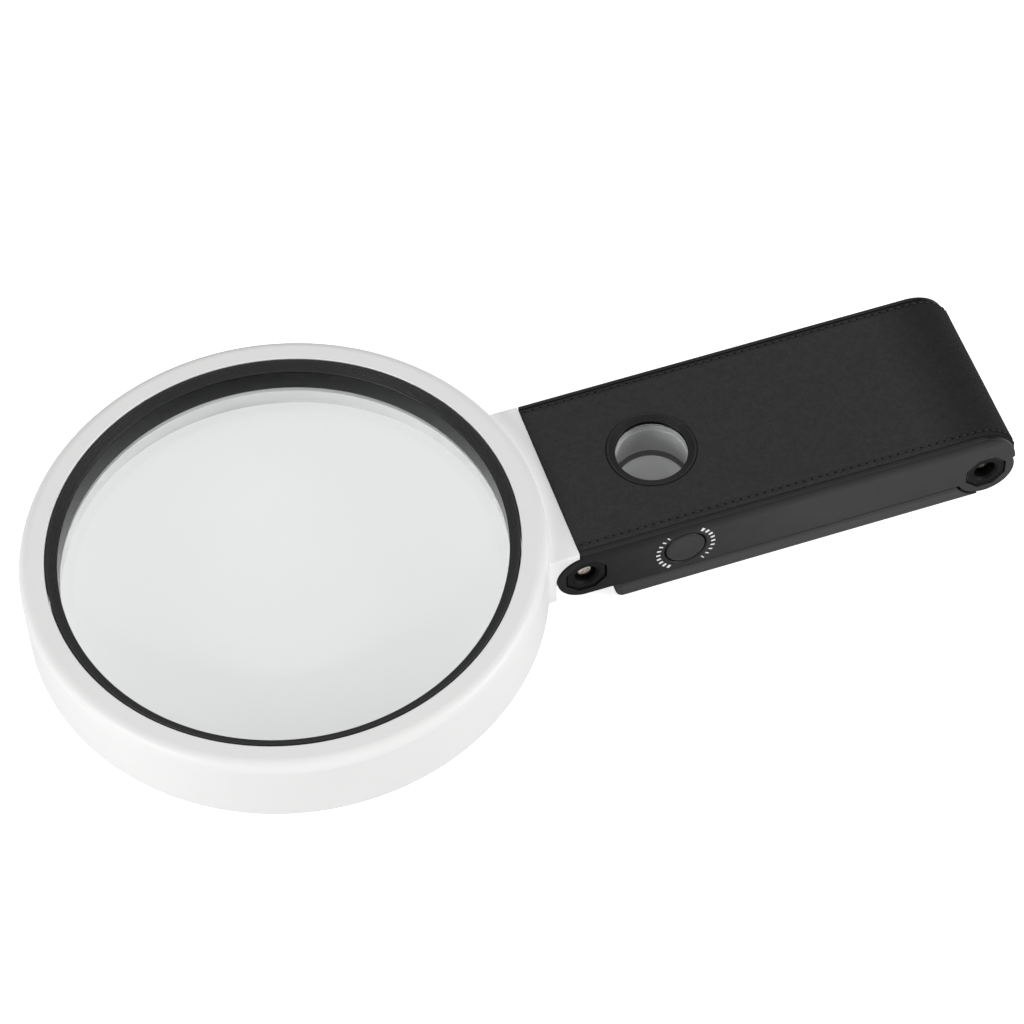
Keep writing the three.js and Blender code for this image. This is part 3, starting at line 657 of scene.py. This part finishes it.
def make_lens_frame():
    inner = FRAME_R - FRAME_WALL
    top = FRAME_HIGH.z
    outline = [
        *arc(FRAME_R - 1.5, FRAME_LOW.z + 1.5, 1.5, -90, 0, 6),
        *arc(FRAME_R - 3.5, top - 3.5, 3.5, 0, 90, 14),
        (BORE_R + 0.25, top), (BORE_R, top - 0.25),
        (BORE_R, LEDGE_TOP), (SIGHT_R + 0.2, LEDGE_TOP), (SIGHT_R, LEDGE_TOP - 0.2),
        (SIGHT_R, COVER_LINE), (SIGHT_R + 1.4, COVER_LINE), (SIGHT_R + 1.4, LEDGE_BOTTOM),
        (BORE_R + 1.6, LEDGE_BOTTOM), (BORE_R + 1.6, top - FRAME_WALL), (inner, top - FRAME_WALL),
        (inner, FRAME_LOW.z),
    ]
    ring = revolve("lens_frame_moulding", outline, FINE, (HEAD.x, 0, 0))
    combine(ring, [make_neck()], "UNION")
    dress(ring, FRAME_WHITE, "white_plastic", "lens_head", "lens_frame")


def slot_outline(angle, half_angle, r, half_width):
    outer = arc(0, 0, r + half_width, angle - half_angle, angle + half_angle, 16)
    end = arc(r * math.cos(math.radians(angle + half_angle)),
              r * math.sin(math.radians(angle + half_angle)), half_width,
              angle + half_angle, angle + half_angle + 180, 8)
    inner = arc(0, 0, r - half_width, angle + half_angle, angle - half_angle, 16)
    start = arc(r * math.cos(math.radians(angle - half_angle)),
                r * math.sin(math.radians(angle - half_angle)), half_width,
                angle - half_angle + 180, angle - half_angle + 360, 8)
    joined = outer + end[1:-1] + inner + start[1:-1]
    return [(HEAD.x + x, y) for x, y in joined]


def make_rear_cover():
    outer = FRAME_R - FRAME_WALL - GAP
    low = FRAME_LOW.z
    outline = soften([(SIGHT_R, low), (outer, low), (outer, COVER_LINE - GAP),
                      (SIGHT_R, COVER_LINE - GAP)], 0.35, 3)
    cover = revolve("lens_frame_rear_plate", outline, FINE, (HEAD.x, 0, 0))
    slots = [prism("cutter", slot_outline(360 * (i + 0.5) / LED_COUNT, 8.2, LED_R, 1.1),
                   low - 1, COVER_LINE, axis="Z") for i in range(LED_COUNT)]
    angles = [math.pi * (0.25 + 0.5 * i) for i in range(4)]
    sinks = [screw_sink(HEAD.x + FRAME_SCREW_R * math.cos(a), FRAME_SCREW_R * math.sin(a), low, 1.2)
             for a in angles]
    combine(cover, slots + sinks)
    dress(cover, WHITE, "white_plastic", "lens_head", "lens_frame_rear_cover")


def make_retaining_ring():
    """Black ring with a stepped bevel over a glossy inner wall."""
    outer = BORE_R - GAP
    inner = SIGHT_R - 0.1
    top = FRAME_HIGH.z
    foot = node_mm("retaining_ring")[0].z
    fall = 2.35
    steps = 5
    bevel = []
    for k in range(steps):
        r = outer - 0.6 - (outer - 0.6 - inner - 0.25) * k / steps
        z = top - fall * k / steps
        run = (outer - 0.6 - inner - 0.25) / steps
        bevel += [(r, z - 0.03), (r - run * 0.76, z - 0.12), (r - run * 0.88, z - 0.26)]
    outline = [(inner + 0.15, foot), (outer - 0.1, foot), (outer, foot + 0.1), (outer, top - 0.2),
               (outer - 0.2, top), *bevel, (inner, top - fall - 0.2), (inner, foot + 0.15)]
    ring = revolve("retaining_ring_stepped", outline, FINE, (HEAD.x, 0, 0))
    dress(ring, RING_BLACK, "gloss_black", "lens_head", "retaining_ring", angle=50)


def lens_outline(rim, dome, sag, top, bottom, steps):
    curve = (dome * dome + sag * sag) / (2 * sag)
    half = math.degrees(math.asin(dome / curve))
    lower = arc(0, bottom - sag + curve, curve, -90, -90 + half, steps)
    upper = arc(0, top + sag - curve, curve, 90 - half, 90, steps)
    lower[0] = (0, lower[0][1])
    upper[-1] = (0, upper[-1][1])
    edge = 0.2
    return [*lower, (rim - edge, bottom), (rim, bottom + edge), (rim, top - edge),
            (rim - edge, top), *upper]


def make_main_lens():
    lens = revolve("main_lens_polished", lens_outline(*MAIN_LENS, 22), FINE,
                   (HEAD.x, 0, 0))
    dress(lens, LENS, "lens", "lens_head", "main_lens", angle=20, weighted=False)


def make_lamps():
    """Diffuser, board and the domed lamps under the lens frame."""
    for node, name, material, slot in (
            ("light_diffuser_ring", "diffuser_ring_frosted", FROSTED, "frosted"),
            ("led_board", "led_board_round", BOARD, "circuit_board")):
        low, high = node_mm(node)
        outline = soften(rectangle(*LAMP_RING_R, low.z, high.z), 0.15, 2)
        ring = revolve(name, outline, FINE, (HEAD.x, 0, 0))
        dress(ring, material, slot, "lens_head", node)
    for i in range(LED_COUNT):
        node = f"led_{i + 1}"
        low, high = node_mm(node)
        centre = (low + high) / 2
        dome = [(0, low.z), *[(1.25 * math.sin(a), low.z + 0.55 * (1 - math.cos(a)))
                              for a in (math.pi / 2 * k / 6 for k in range(1, 7))],
                (1.45, low.z + 0.6), (1.45, high.z), (0, high.z)]
        lamp = revolve(f"lamp_{i + 1}", dome, 28, (centre.x, centre.y, 0))
        dress(lamp, LAMP, "lamp", "lens_head", node)


# ---- screws and hinges
def move(piece, matrix):
    """Moves a mesh about the local origin."""
    there = Matrix.Translation(ORIGIN)
    piece.data.transform(there @ matrix @ there.inverted())


def cross_screw(name, node, body, centre, direction, head_r, head_t, shank_r, length,
                dome=0.35, recess=0.36):
    """Pan-head screw with a cross recess. The head faces along direction from centre."""
    top = [(head_r * math.sin(a), dome * math.cos(a)) for a in
           (math.pi / 2 * k / 6 for k in range(7))]
    top[0] = (0, dome)
    outline = [*top, (head_r, -head_t + 0.12), (head_r - 0.12, -head_t), (shank_r, -head_t),
               (shank_r, -length + 0.6), (0, -length)]
    screw = revolve(name, outline, 40)
    for turn in (0.0, math.pi / 2):
        arm = prism("cutter", soften(rectangle(-head_r * 0.62, head_r * 0.62, -head_r * 0.13,
                                               head_r * 0.13), 0.1, 2),
                    dome - head_t * recess * 2.2, dome + 1, axis="Z")
        move(arm, Matrix.Rotation(turn, 4, "Z"))
        combine(screw, [arm])
    facing = Vector((0, 0, 1)).rotation_difference(Vector(direction)).to_matrix().to_4x4()
    spin = Matrix.Rotation(math.radians(23), 4, "Z")
    move(screw, Matrix.Translation(Vector(centre) * MM) @ facing @ spin)
    dress(screw, STEEL, "steel", body, node, angle=35)


def make_small_screws():
    small = dict(head_r=1.9, head_t=0.45, shank_r=1.0, dome=0.22)
    down = (0, 0, -1)
    groups = [("frame_screw", 4, "lens_head", 6.5), ("arm_cover_screw", 4, "arm", 9.0),
              ("base_screw", 4, "base", 3.2)]
    for stem, count, body, length in groups:
        for i in range(count):
            node = f"{stem}_{i + 1}"
            low, high = node_mm(node)
            centre = ((low.x + high.x) / 2, (low.y + high.y) / 2, low.z + 0.24)
            cross_screw(f"{node}_cross", node, body, centre, down, length=length, **small)
    low, high = node_mm("battery_door_screw")
    centre = ((low.x + high.x) / 2, 0, low.z + 0.12)
    cross_screw("battery_door_screw_cross", "battery_door_screw", "arm", centre, down,
                head_r=1.9, head_t=0.26, shank_r=1.0, length=5, dome=0.12)


def octagon(flats, pivot):
    r = flats / 2 / math.cos(math.pi / 8)
    return arc(pivot.x, pivot.z, r, 22.5, 337.5, 7)


def make_hinges():
    """Octagonal bushings with a coned hole, and the screws deep inside them."""
    outer, mouth, bore = BUSHING_OUTER, BUSHING_MOUTH_R, BUSHING_BORE_R
    for label, pivot, body in (("neck", NECK_PIVOT, "lens_head"), ("base", BASE_PIVOT, "base")):
        head_top = node_mm(f"{label}_hinge_screw_right")[1].y
        deep = head_top - 1.1
        for side, word in ((-1, "left"), (1, "right")):
            outline = soften(octagon(BUSHING_FLATS, pivot), 0.7, 3)
            bushing = prism(f"{label}_bushing_{word}_octagon", outline,
                            *span(side, BUSHING_INNER, outer), 0.3, steps=3)
            profile = [(0, 30), (mouth, 30), (mouth, outer), (mouth - 0.2, outer - 0.25),
                       (bore, outer - 0.7), (bore, deep), (PIVOT_HOLE_R, deep),
                       (PIVOT_HOLE_R, 20), (0, 20)]
            hole = revolve("cutter", [(r, side * h) for r, h in profile], 64,
                           (pivot.x, 0, pivot.z), "Y")
            combine(bushing, [hole])
            dress(bushing, ARM_BLACK, "black_plastic", "arm", f"{label}_hinge_bushing_{word}")
            shade_bore(bushing, pivot, mouth)
            cross_screw(f"{label}_screw_{word}_cross", f"{label}_hinge_screw_{word}", body,
                        (pivot.x, side * (head_top - 0.3), pivot.z), (0, side, 0), head_r=2.2,
                        head_t=0.5, shank_r=1.8, length=10, dome=0.3)


def shade_bore(piece, pivot, radius):
    """Painted shade inside a bushing hole: its faces get a near-black material, darker than the
    moulded face.
    """
    piece.data.materials.append(BORE_SHADE)
    for face in piece.data.polygons:
        spot = (piece.matrix_world @ face.center - ORIGIN) / MM
        reach = math.hypot(spot.x - pivot.x, spot.z - pivot.z)
        if reach < radius - 0.05:
            face.material_index = 1


# ---- handle
def arm_outline():
    start = math.degrees(math.acos((LEATHER_START - NECK_PIVOT.x) / NECK_LUG_R))
    end_top = math.degrees(math.asin((END[1] - BASE_PIVOT.z) / BASE_LUG_R))
    end_bottom = -180 + math.degrees(math.asin((BASE_PIVOT.z - ARM_BOTTOM) / BASE_LUG_R))
    rail_r = END_R + RAIL_TOP
    top = [(x, RAIL_TOP) for x in (END[0] - 20 * k for k in range(1, 7))]
    bottom = [(x, ARM_BOTTOM) for x in (20 * k for k in range(1, 6))]
    return [
        (LEATHER_START, RAIL_TOP),
        *arc(NECK_PIVOT.x, NECK_PIVOT.z, NECK_LUG_R, start, 270, 28), *bottom,
        *arc(BASE_PIVOT.x, BASE_PIVOT.z, BASE_LUG_R, end_bottom, end_top, 30),
        *arc(END[0], END[1], rail_r, 2, 90, 22), *top,
    ]


def make_arm_shell():
    shell = prism("handle_shell", arm_outline(), -HALF_WIDTH, HALF_WIDTH, 0.45, steps=5)
    seat_r = END_R + SEAT_Z
    wall_r = seat_r - TOP_WALL
    half = LEATHER_HALF + GAP
    seat = prism("cutter", [(-5, 5), (-5, SEAT_Z), *arc(*END, seat_r, 90, 0, 24),
                            (END[0] + seat_r, -15.3), (150, -15.3), (150, 5)], -half, half)
    cavity = block("cutter", (13, 120.5), (-CAVITY_HALF, CAVITY_HALF), (-40, -3.2))
    front = block("cutter", (-20, NECK_PIVOT.x + NECK_SWEEP_R), (-LUG_INNER, LUG_INNER),
                  (-40, SEAT_Z - TOP_WALL))
    rear = prism("cutter", [(121.9, -40), (150, -40), (150, END[1]), *arc(*END, wall_r, 0, 90, 24),
                            (121.9, SEAT_Z - TOP_WALL)], -LUG_INNER, LUG_INNER)
    under = block("cutter", (119.5, 150), (-LUG_INNER, LUG_INNER), (-41, ARM_BOTTOM))
    loupe = up_cut(BEZEL_R - 0.7, -10, 5, LOUPE.x)
    button = revolve("cutter", [(0, -40), (7.0, -40), (7.0, -HALF_WIDTH), (6.6, -HALF_WIDTH + 0.4),
                                (6.6, -20), (0, -20)], 96, (BUTTON.x, 0, BUTTON.z), "Y")
    wide = BUSHING_FLATS + 2 * BUSHING_SLACK
    bushes = [prism("cutter", soften(octagon(wide, pivot), 0.3, 2), -40, 40)
              for pivot in (NECK_PIVOT, BASE_PIVOT)]
    combine(shell, [seat, cavity, front, rear, under, loupe, button, *bushes])
    dress(shell, ARM_BLACK, "black_plastic", "arm", "arm_shell")


def leather_path(offset):
    """Side profile of the leather at a depth below its outer face, as (x, z) points."""
    start = LEATHER_START
    straight = [start + (END[0] - start) * (k / 110) for k in range(110)]
    bend = arc(END[0], END[1], END_R - offset, 90, 0, 26)
    tail = [(END[0] + END_R - offset, END[1] - 0.2 * k) for k in range(1, 4)]
    return [(x, -offset) for x in straight] + bend + tail


def leather_depth(run, total, y):
    """How far the leather face sinks: its rolled edges and the stitched groove along them."""
    side = LEATHER_HALF - abs(y)
    roll = 1.0 * max(0.0, 1 - side / 2.1) ** 2
    ends = 0.5 * max(0.0, 1 - min(run, total - run) / 0.7) ** 2
    groove = 0.2 * math.exp(-((abs(y) - STITCH_LINE) / 0.45) ** 2)
    pad = -0.08 * math.exp(-((abs(y) - STITCH_LINE + 1.4) / 0.9) ** 2)
    crown = -0.03 * (1 - (y / LEATHER_HALF) ** 2)
    return min(LEATHER_THICK - 0.1, 0.12 + max(roll, ends) + groove + pad + crown)


def make_leather():
    outer = leather_path(0)
    lanes = 74
    widths = [LEATHER_HALF * math.sin(math.pi / 2 * (2 * k / lanes - 1)) * 0.35
              + LEATHER_HALF * (2 * k / lanes - 1) * 0.65 for k in range(lanes + 1)]
    runs = [0.0]
    for a, b in zip(outer, outer[1:]):
        runs.append(runs[-1] + math.dist(a, b))
    points, faces = [], []
    rows, columns = len(outer), len(widths)
    inner = leather_path(LEATHER_THICK)
    for layer in ("face", "back"):
        for i, (x, z) in enumerate(outer):
            low = Vector((inner[i][0] - x, inner[i][1] - z)).normalized()
            for y in widths:
                sink = leather_depth(runs[i], runs[-1], y) if layer == "face" else LEATHER_THICK
                points.append((x + low.x * sink, y, z + low.y * sink))
    back = rows * columns
    for i in range(rows - 1):
        for j in range(columns - 1):
            a = i * columns + j
            faces.append([a, a + 1, a + columns + 1, a + columns])
            faces.append([back + a, back + a + columns, back + a + columns + 1, back + a + 1])
    rim = [j for j in range(columns)]
    rim += [i * columns + columns - 1 for i in range(1, rows)]
    rim += [(rows - 1) * columns + j for j in range(columns - 2, -1, -1)]
    rim += [i * columns for i in range(rows - 2, 0, -1)]
    for a, b in zip(rim, rim[1:] + rim[:1]):
        faces.append([a, b, back + b, back + a])
    leather = build("leather_sheet", points, faces)
    hole = revolve("cutter", [(0, -8), (BEZEL_R + 0.1, -8), (BEZEL_R + 0.1, -0.4),
                              (BEZEL_R + 0.3, 0.1), (BEZEL_R + 0.3, 5), (0, 5)],
                   128, (LOUPE.x, 0, 0))
    combine(leather, [hole])
    dress(leather, LEATHER, "leather", "arm", "leather_cover", angle=50)


def make_stitches():
    """Two rows of short thread stitches sunk in the groove, with a needle hole between them, drawn
    as a dot of painted shade.
    """
    pitch, length, thick, wide = 2.5, 1.75, 0.17, 0.24
    line = STITCH_LINE
    straight = END[0] - LEATHER_START
    bend = END_R * math.pi / 2
    points, faces = [], []

    def spot(run, y, height):
        if run < straight:
            return (LEATHER_START + run, y, height)
        a = math.pi / 2 - (run - straight) / END_R
        r = END_R + height
        return (END[0] + r * math.cos(a), y, END[1] + r * math.sin(a))

    count = int((straight + bend - 3) / pitch)
    around, along = 8, 8
    for side in (-1, 1):
        for k in range(count):
            begin = 1.6 + k * pitch
            base = len(points)
            for i in range(along + 1):
                t = i / along
                swell = math.sin(math.pi * min(max(t, 0.04), 0.96)) ** 0.45
                lift = -0.27 + 0.10 * math.sin(math.pi * t)
                for j in range(around):
                    a = 2 * math.pi * j / around
                    points.append(spot(begin + length * t,
                                       side * line + wide * swell * math.cos(a),
                                       lift + thick * swell * math.sin(a)))
            for i in range(along):
                for j in range(around):
                    n = (j + 1) % around
                    faces.append([base + i * around + j, base + i * around + n,
                                  base + (i + 1) * around + n, base + (i + 1) * around + j])
            faces.append([base + j for j in range(around)])
            faces.append([base + along * around + j for j in range(around)])
    thread = build("leather_stitches", points, faces)
    dress(thread, THREAD, "leather", "arm", angle=60, weighted=False)

    # needle holes: near-black dots of painted shade on the stitch line
    points, faces = [], []
    for side in (-1, 1):
        for k in range(count + 1):
            middle = 1.6 + k * pitch - (pitch - length) / 2
            base = len(points)
            points.append(spot(middle, side * line, -0.19))
            for j in range(12):
                a = math.pi * j / 6
                points.append(spot(middle + 0.3 * math.cos(a), side * line + 0.3 * math.sin(a),
                                   -0.26))
            points.append(spot(middle, side * line, -0.5))
            for j in range(12):
                ring = (base + 1 + j, base + 1 + (j + 1) % 12)
                faces += [[base, *ring], [base + 13, *ring[::-1]]]
    holes = build("leather_needle_holes", points, faces)
    dress(holes, HOLE_SHADE, "leather", "arm", angle=60, weighted=False)


def make_arm_cover():
    """Underside of the handle: cover plate, and the battery door with its finger grips."""
    low, high = node_mm("arm_rear_cover")
    plate = prism("handle_rear_plate", soften(rectangle(low.x, high.x, low.y, high.y), 1.2),
                  ARM_BOTTOM, -19, 0.3, "Z", 3, high_radius=0.0)
    seat = prism("cutter", soften(rectangle(47.5, 115, -23.6, 23.6), 1.6), -30, -19.8, axis="Z")
    opening = block("cutter", (55.4, 113.4), (-22, 22), (-31, 0))
    tube = up_cut(TUBE_BORE_R, -30, 0, LOUPE.x)
    flange = side_cut(7.5, -30, -24, BUTTON.x, BUTTON.z)
    door_hole = up_cut(1.3, -22, -14, DOOR_SCREW_X, segments=24)
    combine(plate, [seat, opening, tube, flange, door_hole,
                    *screw_sinks("arm_cover_screw", ARM_BOTTOM, 1.2)])
    dress(plate, BLACK, "black_plastic", "arm", "arm_rear_cover")

    low, high = node_mm("battery_door")
    door = prism("battery_door_panel", soften(rectangle(low.x, high.x, low.y, high.y), 1.4),
                 ARM_BOTTOM, high.z, 0.3, "Z", 3, high_radius=0.0)
    sink = screw_sink(DOOR_SCREW_X, 0, ARM_BOTTOM, 0.8, mouth=2.4, chamfer=0.2)
    grips = []
    for k in range(6):
        x = 97 + 2.4 * k
        groove = prism("cutter", soften(rectangle(x, x + 1.1, -12, 12), 0.5, 4),
                       ARM_BOTTOM - 1, ARM_BOTTOM + 0.45, axis="Z")
        grips.append(groove)
    combine(door, [sink, *grips])
    dress(door, BLACK, "black_plastic", "arm", "battery_door")


# ---- loupe
def window_sleeve(name, body, inner, outer, low, high, corner):
    """Thin pale lining of a window, bright with a painted glow standing in for light from the page.
    """
    outline = soften(rectangle(inner, outer, low, high), corner, 2)
    sleeve = revolve(name, outline, 96, (LOUPE.x, 0, 0))
    dress(sleeve, GLOW, "white_plastic", body)


def make_loupe():
    inner = LOUPE_SIGHT_R
    steps = 5
    brim = 0.22
    first = BEZEL_R - 0.5
    run = (first - inner - 0.1) / steps
    rings = []
    for k in range(steps):
        r = first - run * k
        z = brim - 0.05 - 0.2 * k
        rings += [(r, z), (r - run * 0.62, z - 0.03), (r - run * 0.8, z - 0.26)]
    outline = [(inner, -1.8), (BEZEL_R - 1.5, -3.3), (BEZEL_R - 1, -3.3),
               (BEZEL_R - 1, -LEATHER_THICK), (BEZEL_R, -LEATHER_THICK), (BEZEL_R, brim - 0.2),
               (BEZEL_R - 0.06, brim - 0.06), (BEZEL_R - 0.22, brim), *rings, (inner, -1.3)]
    bezel = revolve("loupe_bezel_stepped", outline, 160, (LOUPE.x, 0, 0))
    dress(bezel, BEZEL_BLACK, "gloss_black", "arm", "small_lens_bezel", angle=30)
    lens = revolve("loupe_lens_polished", lens_outline(*SMALL_LENS, 16), 128,
                   (LOUPE.x, 0, 0))
    dress(lens, LENS, "lens", "arm", "small_lens", angle=20, weighted=False)
    tube = revolve("loupe_light_tube", [
        (11, -17.3), (11.3, -17.6), (13.4, -17.6), (13.4, -3.6), (12.7, -3.6), (12.7, -5.5),
        (11.2, -5.5), (11, -5.7)], 96, (LOUPE.x, 0, 0))
    dress(tube, TUBE, "white_plastic", "arm", "light_tube")
    window_sleeve("loupe_cover_sleeve", "arm", 10.7, 11, -21.2, -19.1, 0.1)


# ---- button
def make_button():
    face = -HALF_WIDTH
    outline = [(0, face + 0.18), (3.6, face + 0.1), (5.2, face + 0.02), (5.75, face + 0.05),
               (6.05, face + 0.2), (6.2, face + 0.5), (6.2, -26.4), (7.2, -26.4), (7.2, -25.4),
               (0, -25.4)]
    cap = revolve("brightness_button_cap", outline, 112, (BUTTON.x, 0, BUTTON.z), "Y")
    dress(cap, BLACK, "black_plastic", "button", "brightness_button", angle=50)


def make_scale_marks():
    """Printed brightness scale beside the button: two arcs of plain wedges, thin to thick."""
    points, faces = [], []
    face = -HALF_WIDTH
    count = 9
    for start, end in ((128, 232), (-52, 52)):
        for k in range(count):
            share = k / (count - 1)
            middle = start + (end - start) * share
            half = 1.2 + 2.0 * share
            outline = arc(BUTTON.x, BUTTON.z, 8.05, middle - half, middle + half, 3)
            outline += arc(BUTTON.x, BUTTON.z, 9.35, middle + half, middle - half, 3)
            base = len(points)
            size = len(outline)
            for y in (face - 0.03, face + 0.05):
                points += [(x, y, z) for x, z in outline]
            faces.append([base + i for i in range(size)])
            faces.append([base + size + i for i in range(size)])
            for i in range(size):
                j = (i + 1) % size
                faces.append([base + i, base + j, base + size + j, base + size + i])
    marks = build("brightness_scale_marks", points, faces)
    dress(marks, PRINT, "white_plastic", "arm", weighted=False)


# ---- base
def base_barrel_and_web():
    x, z = BASE_PIVOT.x, BASE_PIVOT.z
    web = prism("web", [(118, BASE_TOP), (118, BASE_BOTTOM), (BASE_END, BASE_BOTTOM),
                        (131.5, -24.1), (129.7, -18), (x - BASE_BARREL_R, z), (122.5, BASE_TOP)],
                -BARREL_HALF, BARREL_HALF, 0.2)
    barrel = prism("barrel", arc(x, z, BASE_BARREL_R, 0, 354, 59), -BARREL_HALF, BARREL_HALF, 0.4)
    return [web, barrel]


def make_base():
    left = BASE_LOW.x
    corner = 2
    plan = [*arc(left + corner, -HALF_WIDTH + corner, corner, 180, 270, 8),
            (BASE_END, -HALF_WIDTH), (BASE_END, HALF_WIDTH),
            *arc(left + corner, HALF_WIDTH - corner, corner, 90, 180, 8)]
    shell = prism("base_plate_shell", plan, BASE_BOTTOM, BASE_TOP, 0.7, "Z", 5, high_radius=1.2)
    rooms = on_both_sides(lambda side: side_cut(BASE_SWEEP_R, *span(side, BARREL_HALF, 40),
                                                BASE_PIVOT.x, BASE_PIVOT.z, 128))
    combine(shell, rooms)
    combine(shell, base_barrel_and_web(), "UNION")
    cavity = block("cavity", (14, 118), (-CAVITY_HALF, CAVITY_HALF), (-30, -24.2))
    combine(cavity, [up_cut(14.8, -40, 0, LOUPE.x)])
    brim = WINDOW_R + 0.5
    window = revolve("cutter", [(0, -40), (brim, -40), (brim, BASE_BOTTOM),
                                (WINDOW_R, BASE_BOTTOM + 0.5), (WINDOW_R, BASE_TOP - 0.5),
                                (brim, BASE_TOP), (brim, -15), (0, -15)],
                     128, (LOUPE.x, 0, 0))
    combine(shell, [cavity, window, *pivot_holes(BASE_PIVOT)])
    dress(shell, BASE_BLACK, "black_plastic", "base", "base_shell")
    window_sleeve("base_window_sleeve", "base", 12.5, 12.9, -27.5, -22.6, 0.12)

    low, high = node_mm("base_bottom_cover")
    cover = prism("base_rear_plate", soften(rectangle(low.x, high.x, low.y, high.y), 1.2),
                  BASE_BOTTOM, high.z, 0.3, "Z", 3, high_radius=0.0)
    cuts = [up_cut(15.1, -40, 0, LOUPE.x)]
    for i in range(4):
        foot = middle_mm(f"base_foot_{i + 1}")
        cuts.append(up_cut(4.3, -40, BASE_BOTTOM + 1, foot.x, foot.y, 64))
    combine(cover, cuts + screw_sinks("base_screw", BASE_BOTTOM, 1.0))
    dress(cover, BLACK, "black_plastic", "base", "base_bottom_cover")


def make_feet():
    for i in range(4):
        node = f"base_foot_{i + 1}"
        low, high = node_mm(node)
        outline = [(0, low.z + 0.08), (2.6, low.z + 0.08), (2.9, low.z), (3.5, low.z),
                   *arc(3.5, low.z + 0.5, 0.5, -80, 0, 5), (4.0, high.z), (0, high.z)]
        foot = revolve(f"{node}_pad", outline, 64, ((low.x + high.x) / 2, (low.y + high.y) / 2, 0))
        dress(foot, RUBBER, "rubber", "base", node, angle=50)


# ---- studio
AIM = (-14.0, -8.25, 0.0)
DISTANCE = 1168.6
AZIMUTH = math.radians(-16.41)
ELEVATION = math.radians(53.55)
ROLL = math.radians(2.51)
LENS_MM = 138.55


def make_camera():
    back = Vector((math.sin(AZIMUTH) * math.cos(ELEVATION),
                   -math.cos(AZIMUTH) * math.cos(ELEVATION), math.sin(ELEVATION)))
    level = Vector((math.cos(AZIMUTH), math.sin(AZIMUTH), 0))
    steep = back.cross(level)
    right = level * math.cos(ROLL) - steep * math.sin(ROLL)
    up = back.cross(right)
    data = bpy.data.cameras.new("studio_camera")
    data.lens = LENS_MM
    data.sensor_width = 36
    data.clip_end = 20
    camera = bpy.data.objects.new("studio_camera", data)
    turn = Matrix((right, up, back)).transposed().to_4x4()
    camera.matrix_world = Matrix.Translation(to_row(Vector(AIM) + back * DISTANCE)) @ turn
    bpy.context.scene.collection.objects.link(camera)
    bpy.context.scene.camera = camera


def area_light(name, place, size, power, aim=(0.0, 0.0, 0.0)):
    data = bpy.data.lights.new(name, "AREA")
    data.shape = "RECTANGLE"
    data.size, data.size_y = size
    data.energy = power
    light = bpy.data.objects.new(name, data)
    light.location = place
    light.rotation_euler = (Vector(aim) - Vector(place)).to_track_quat("-Z", "Y").to_euler()
    bpy.context.scene.collection.objects.link(light)


# Light strengths, and how much the lit table under the object glows by itself.
WORLD_LIGHT = 0.44
LEFT_LIGHT = 32
RIGHT_LIGHT = 33
FLOOR_GLOW = 0.75
FLOOR_GLOW_THROUGH_LENS = 0.8


def make_studio():
    floor_size = 6.0
    mesh = bpy.data.meshes.new("studio_floor")
    corners = [(-floor_size, -floor_size, 0), (floor_size, -floor_size, 0),
               (floor_size, floor_size, 0), (-floor_size, floor_size, 0)]
    mesh.from_pydata(corners, [], [[0, 1, 2, 3]])
    floor = bpy.data.objects.new("studio_floor", mesh)
    bpy.context.scene.collection.objects.link(floor)
    n = Nodes("pale_floor")
    path = n.add("ShaderNodeLightPath")
    n.put(Base_Color=n.spread(path.outputs["Is Transmission Ray"], 0.85, 0.25),
          Roughness=0.9, Specular_IOR_Level=0.1)
    through = n.spread(path.outputs["Is Transmission Ray"], 0.0, FLOOR_GLOW_THROUGH_LENS)
    glow = n.maths("MULTIPLY_ADD", path.outputs["Is Camera Ray"], FLOOR_GLOW, through)
    n.put(Emission_Color=(1, 1, 1, 1), Emission_Strength=glow)
    # seen from below, the floor is clear, so the underside and the lowered parts can be viewed
    n.clear_where(n.add("ShaderNodeNewGeometry").outputs["Backfacing"])
    mesh.materials.append(n.material)
    world = bpy.data.worlds.new("studio_world")
    world.use_nodes = True
    world.node_tree.nodes["Background"].inputs["Color"].default_value = (1, 1, 1, 1)
    world.node_tree.nodes["Background"].inputs["Strength"].default_value = WORLD_LIGHT
    bpy.context.scene.world = world
    area_light("left_light", (-1.87, -0.68, 0.93), (1.4, 1.0), LEFT_LIGHT)
    area_light("right_light", (1.80, -0.84, 0.93), (1.4, 1.0), RIGHT_LIGHT)
    bpy.context.scene.view_settings.view_transform = "Standard"
    bpy.context.scene.view_settings.look = "None"


make_camera()
dress_cad_nodes()
make_lens_frame()
make_rear_cover()
make_retaining_ring()
make_main_lens()
make_lamps()
make_small_screws()
make_hinges()
make_arm_shell()
make_leather()
make_stitches()
make_arm_cover()
make_loupe()
make_button()
make_scale_marks()
make_base()
make_feet()
make_studio()
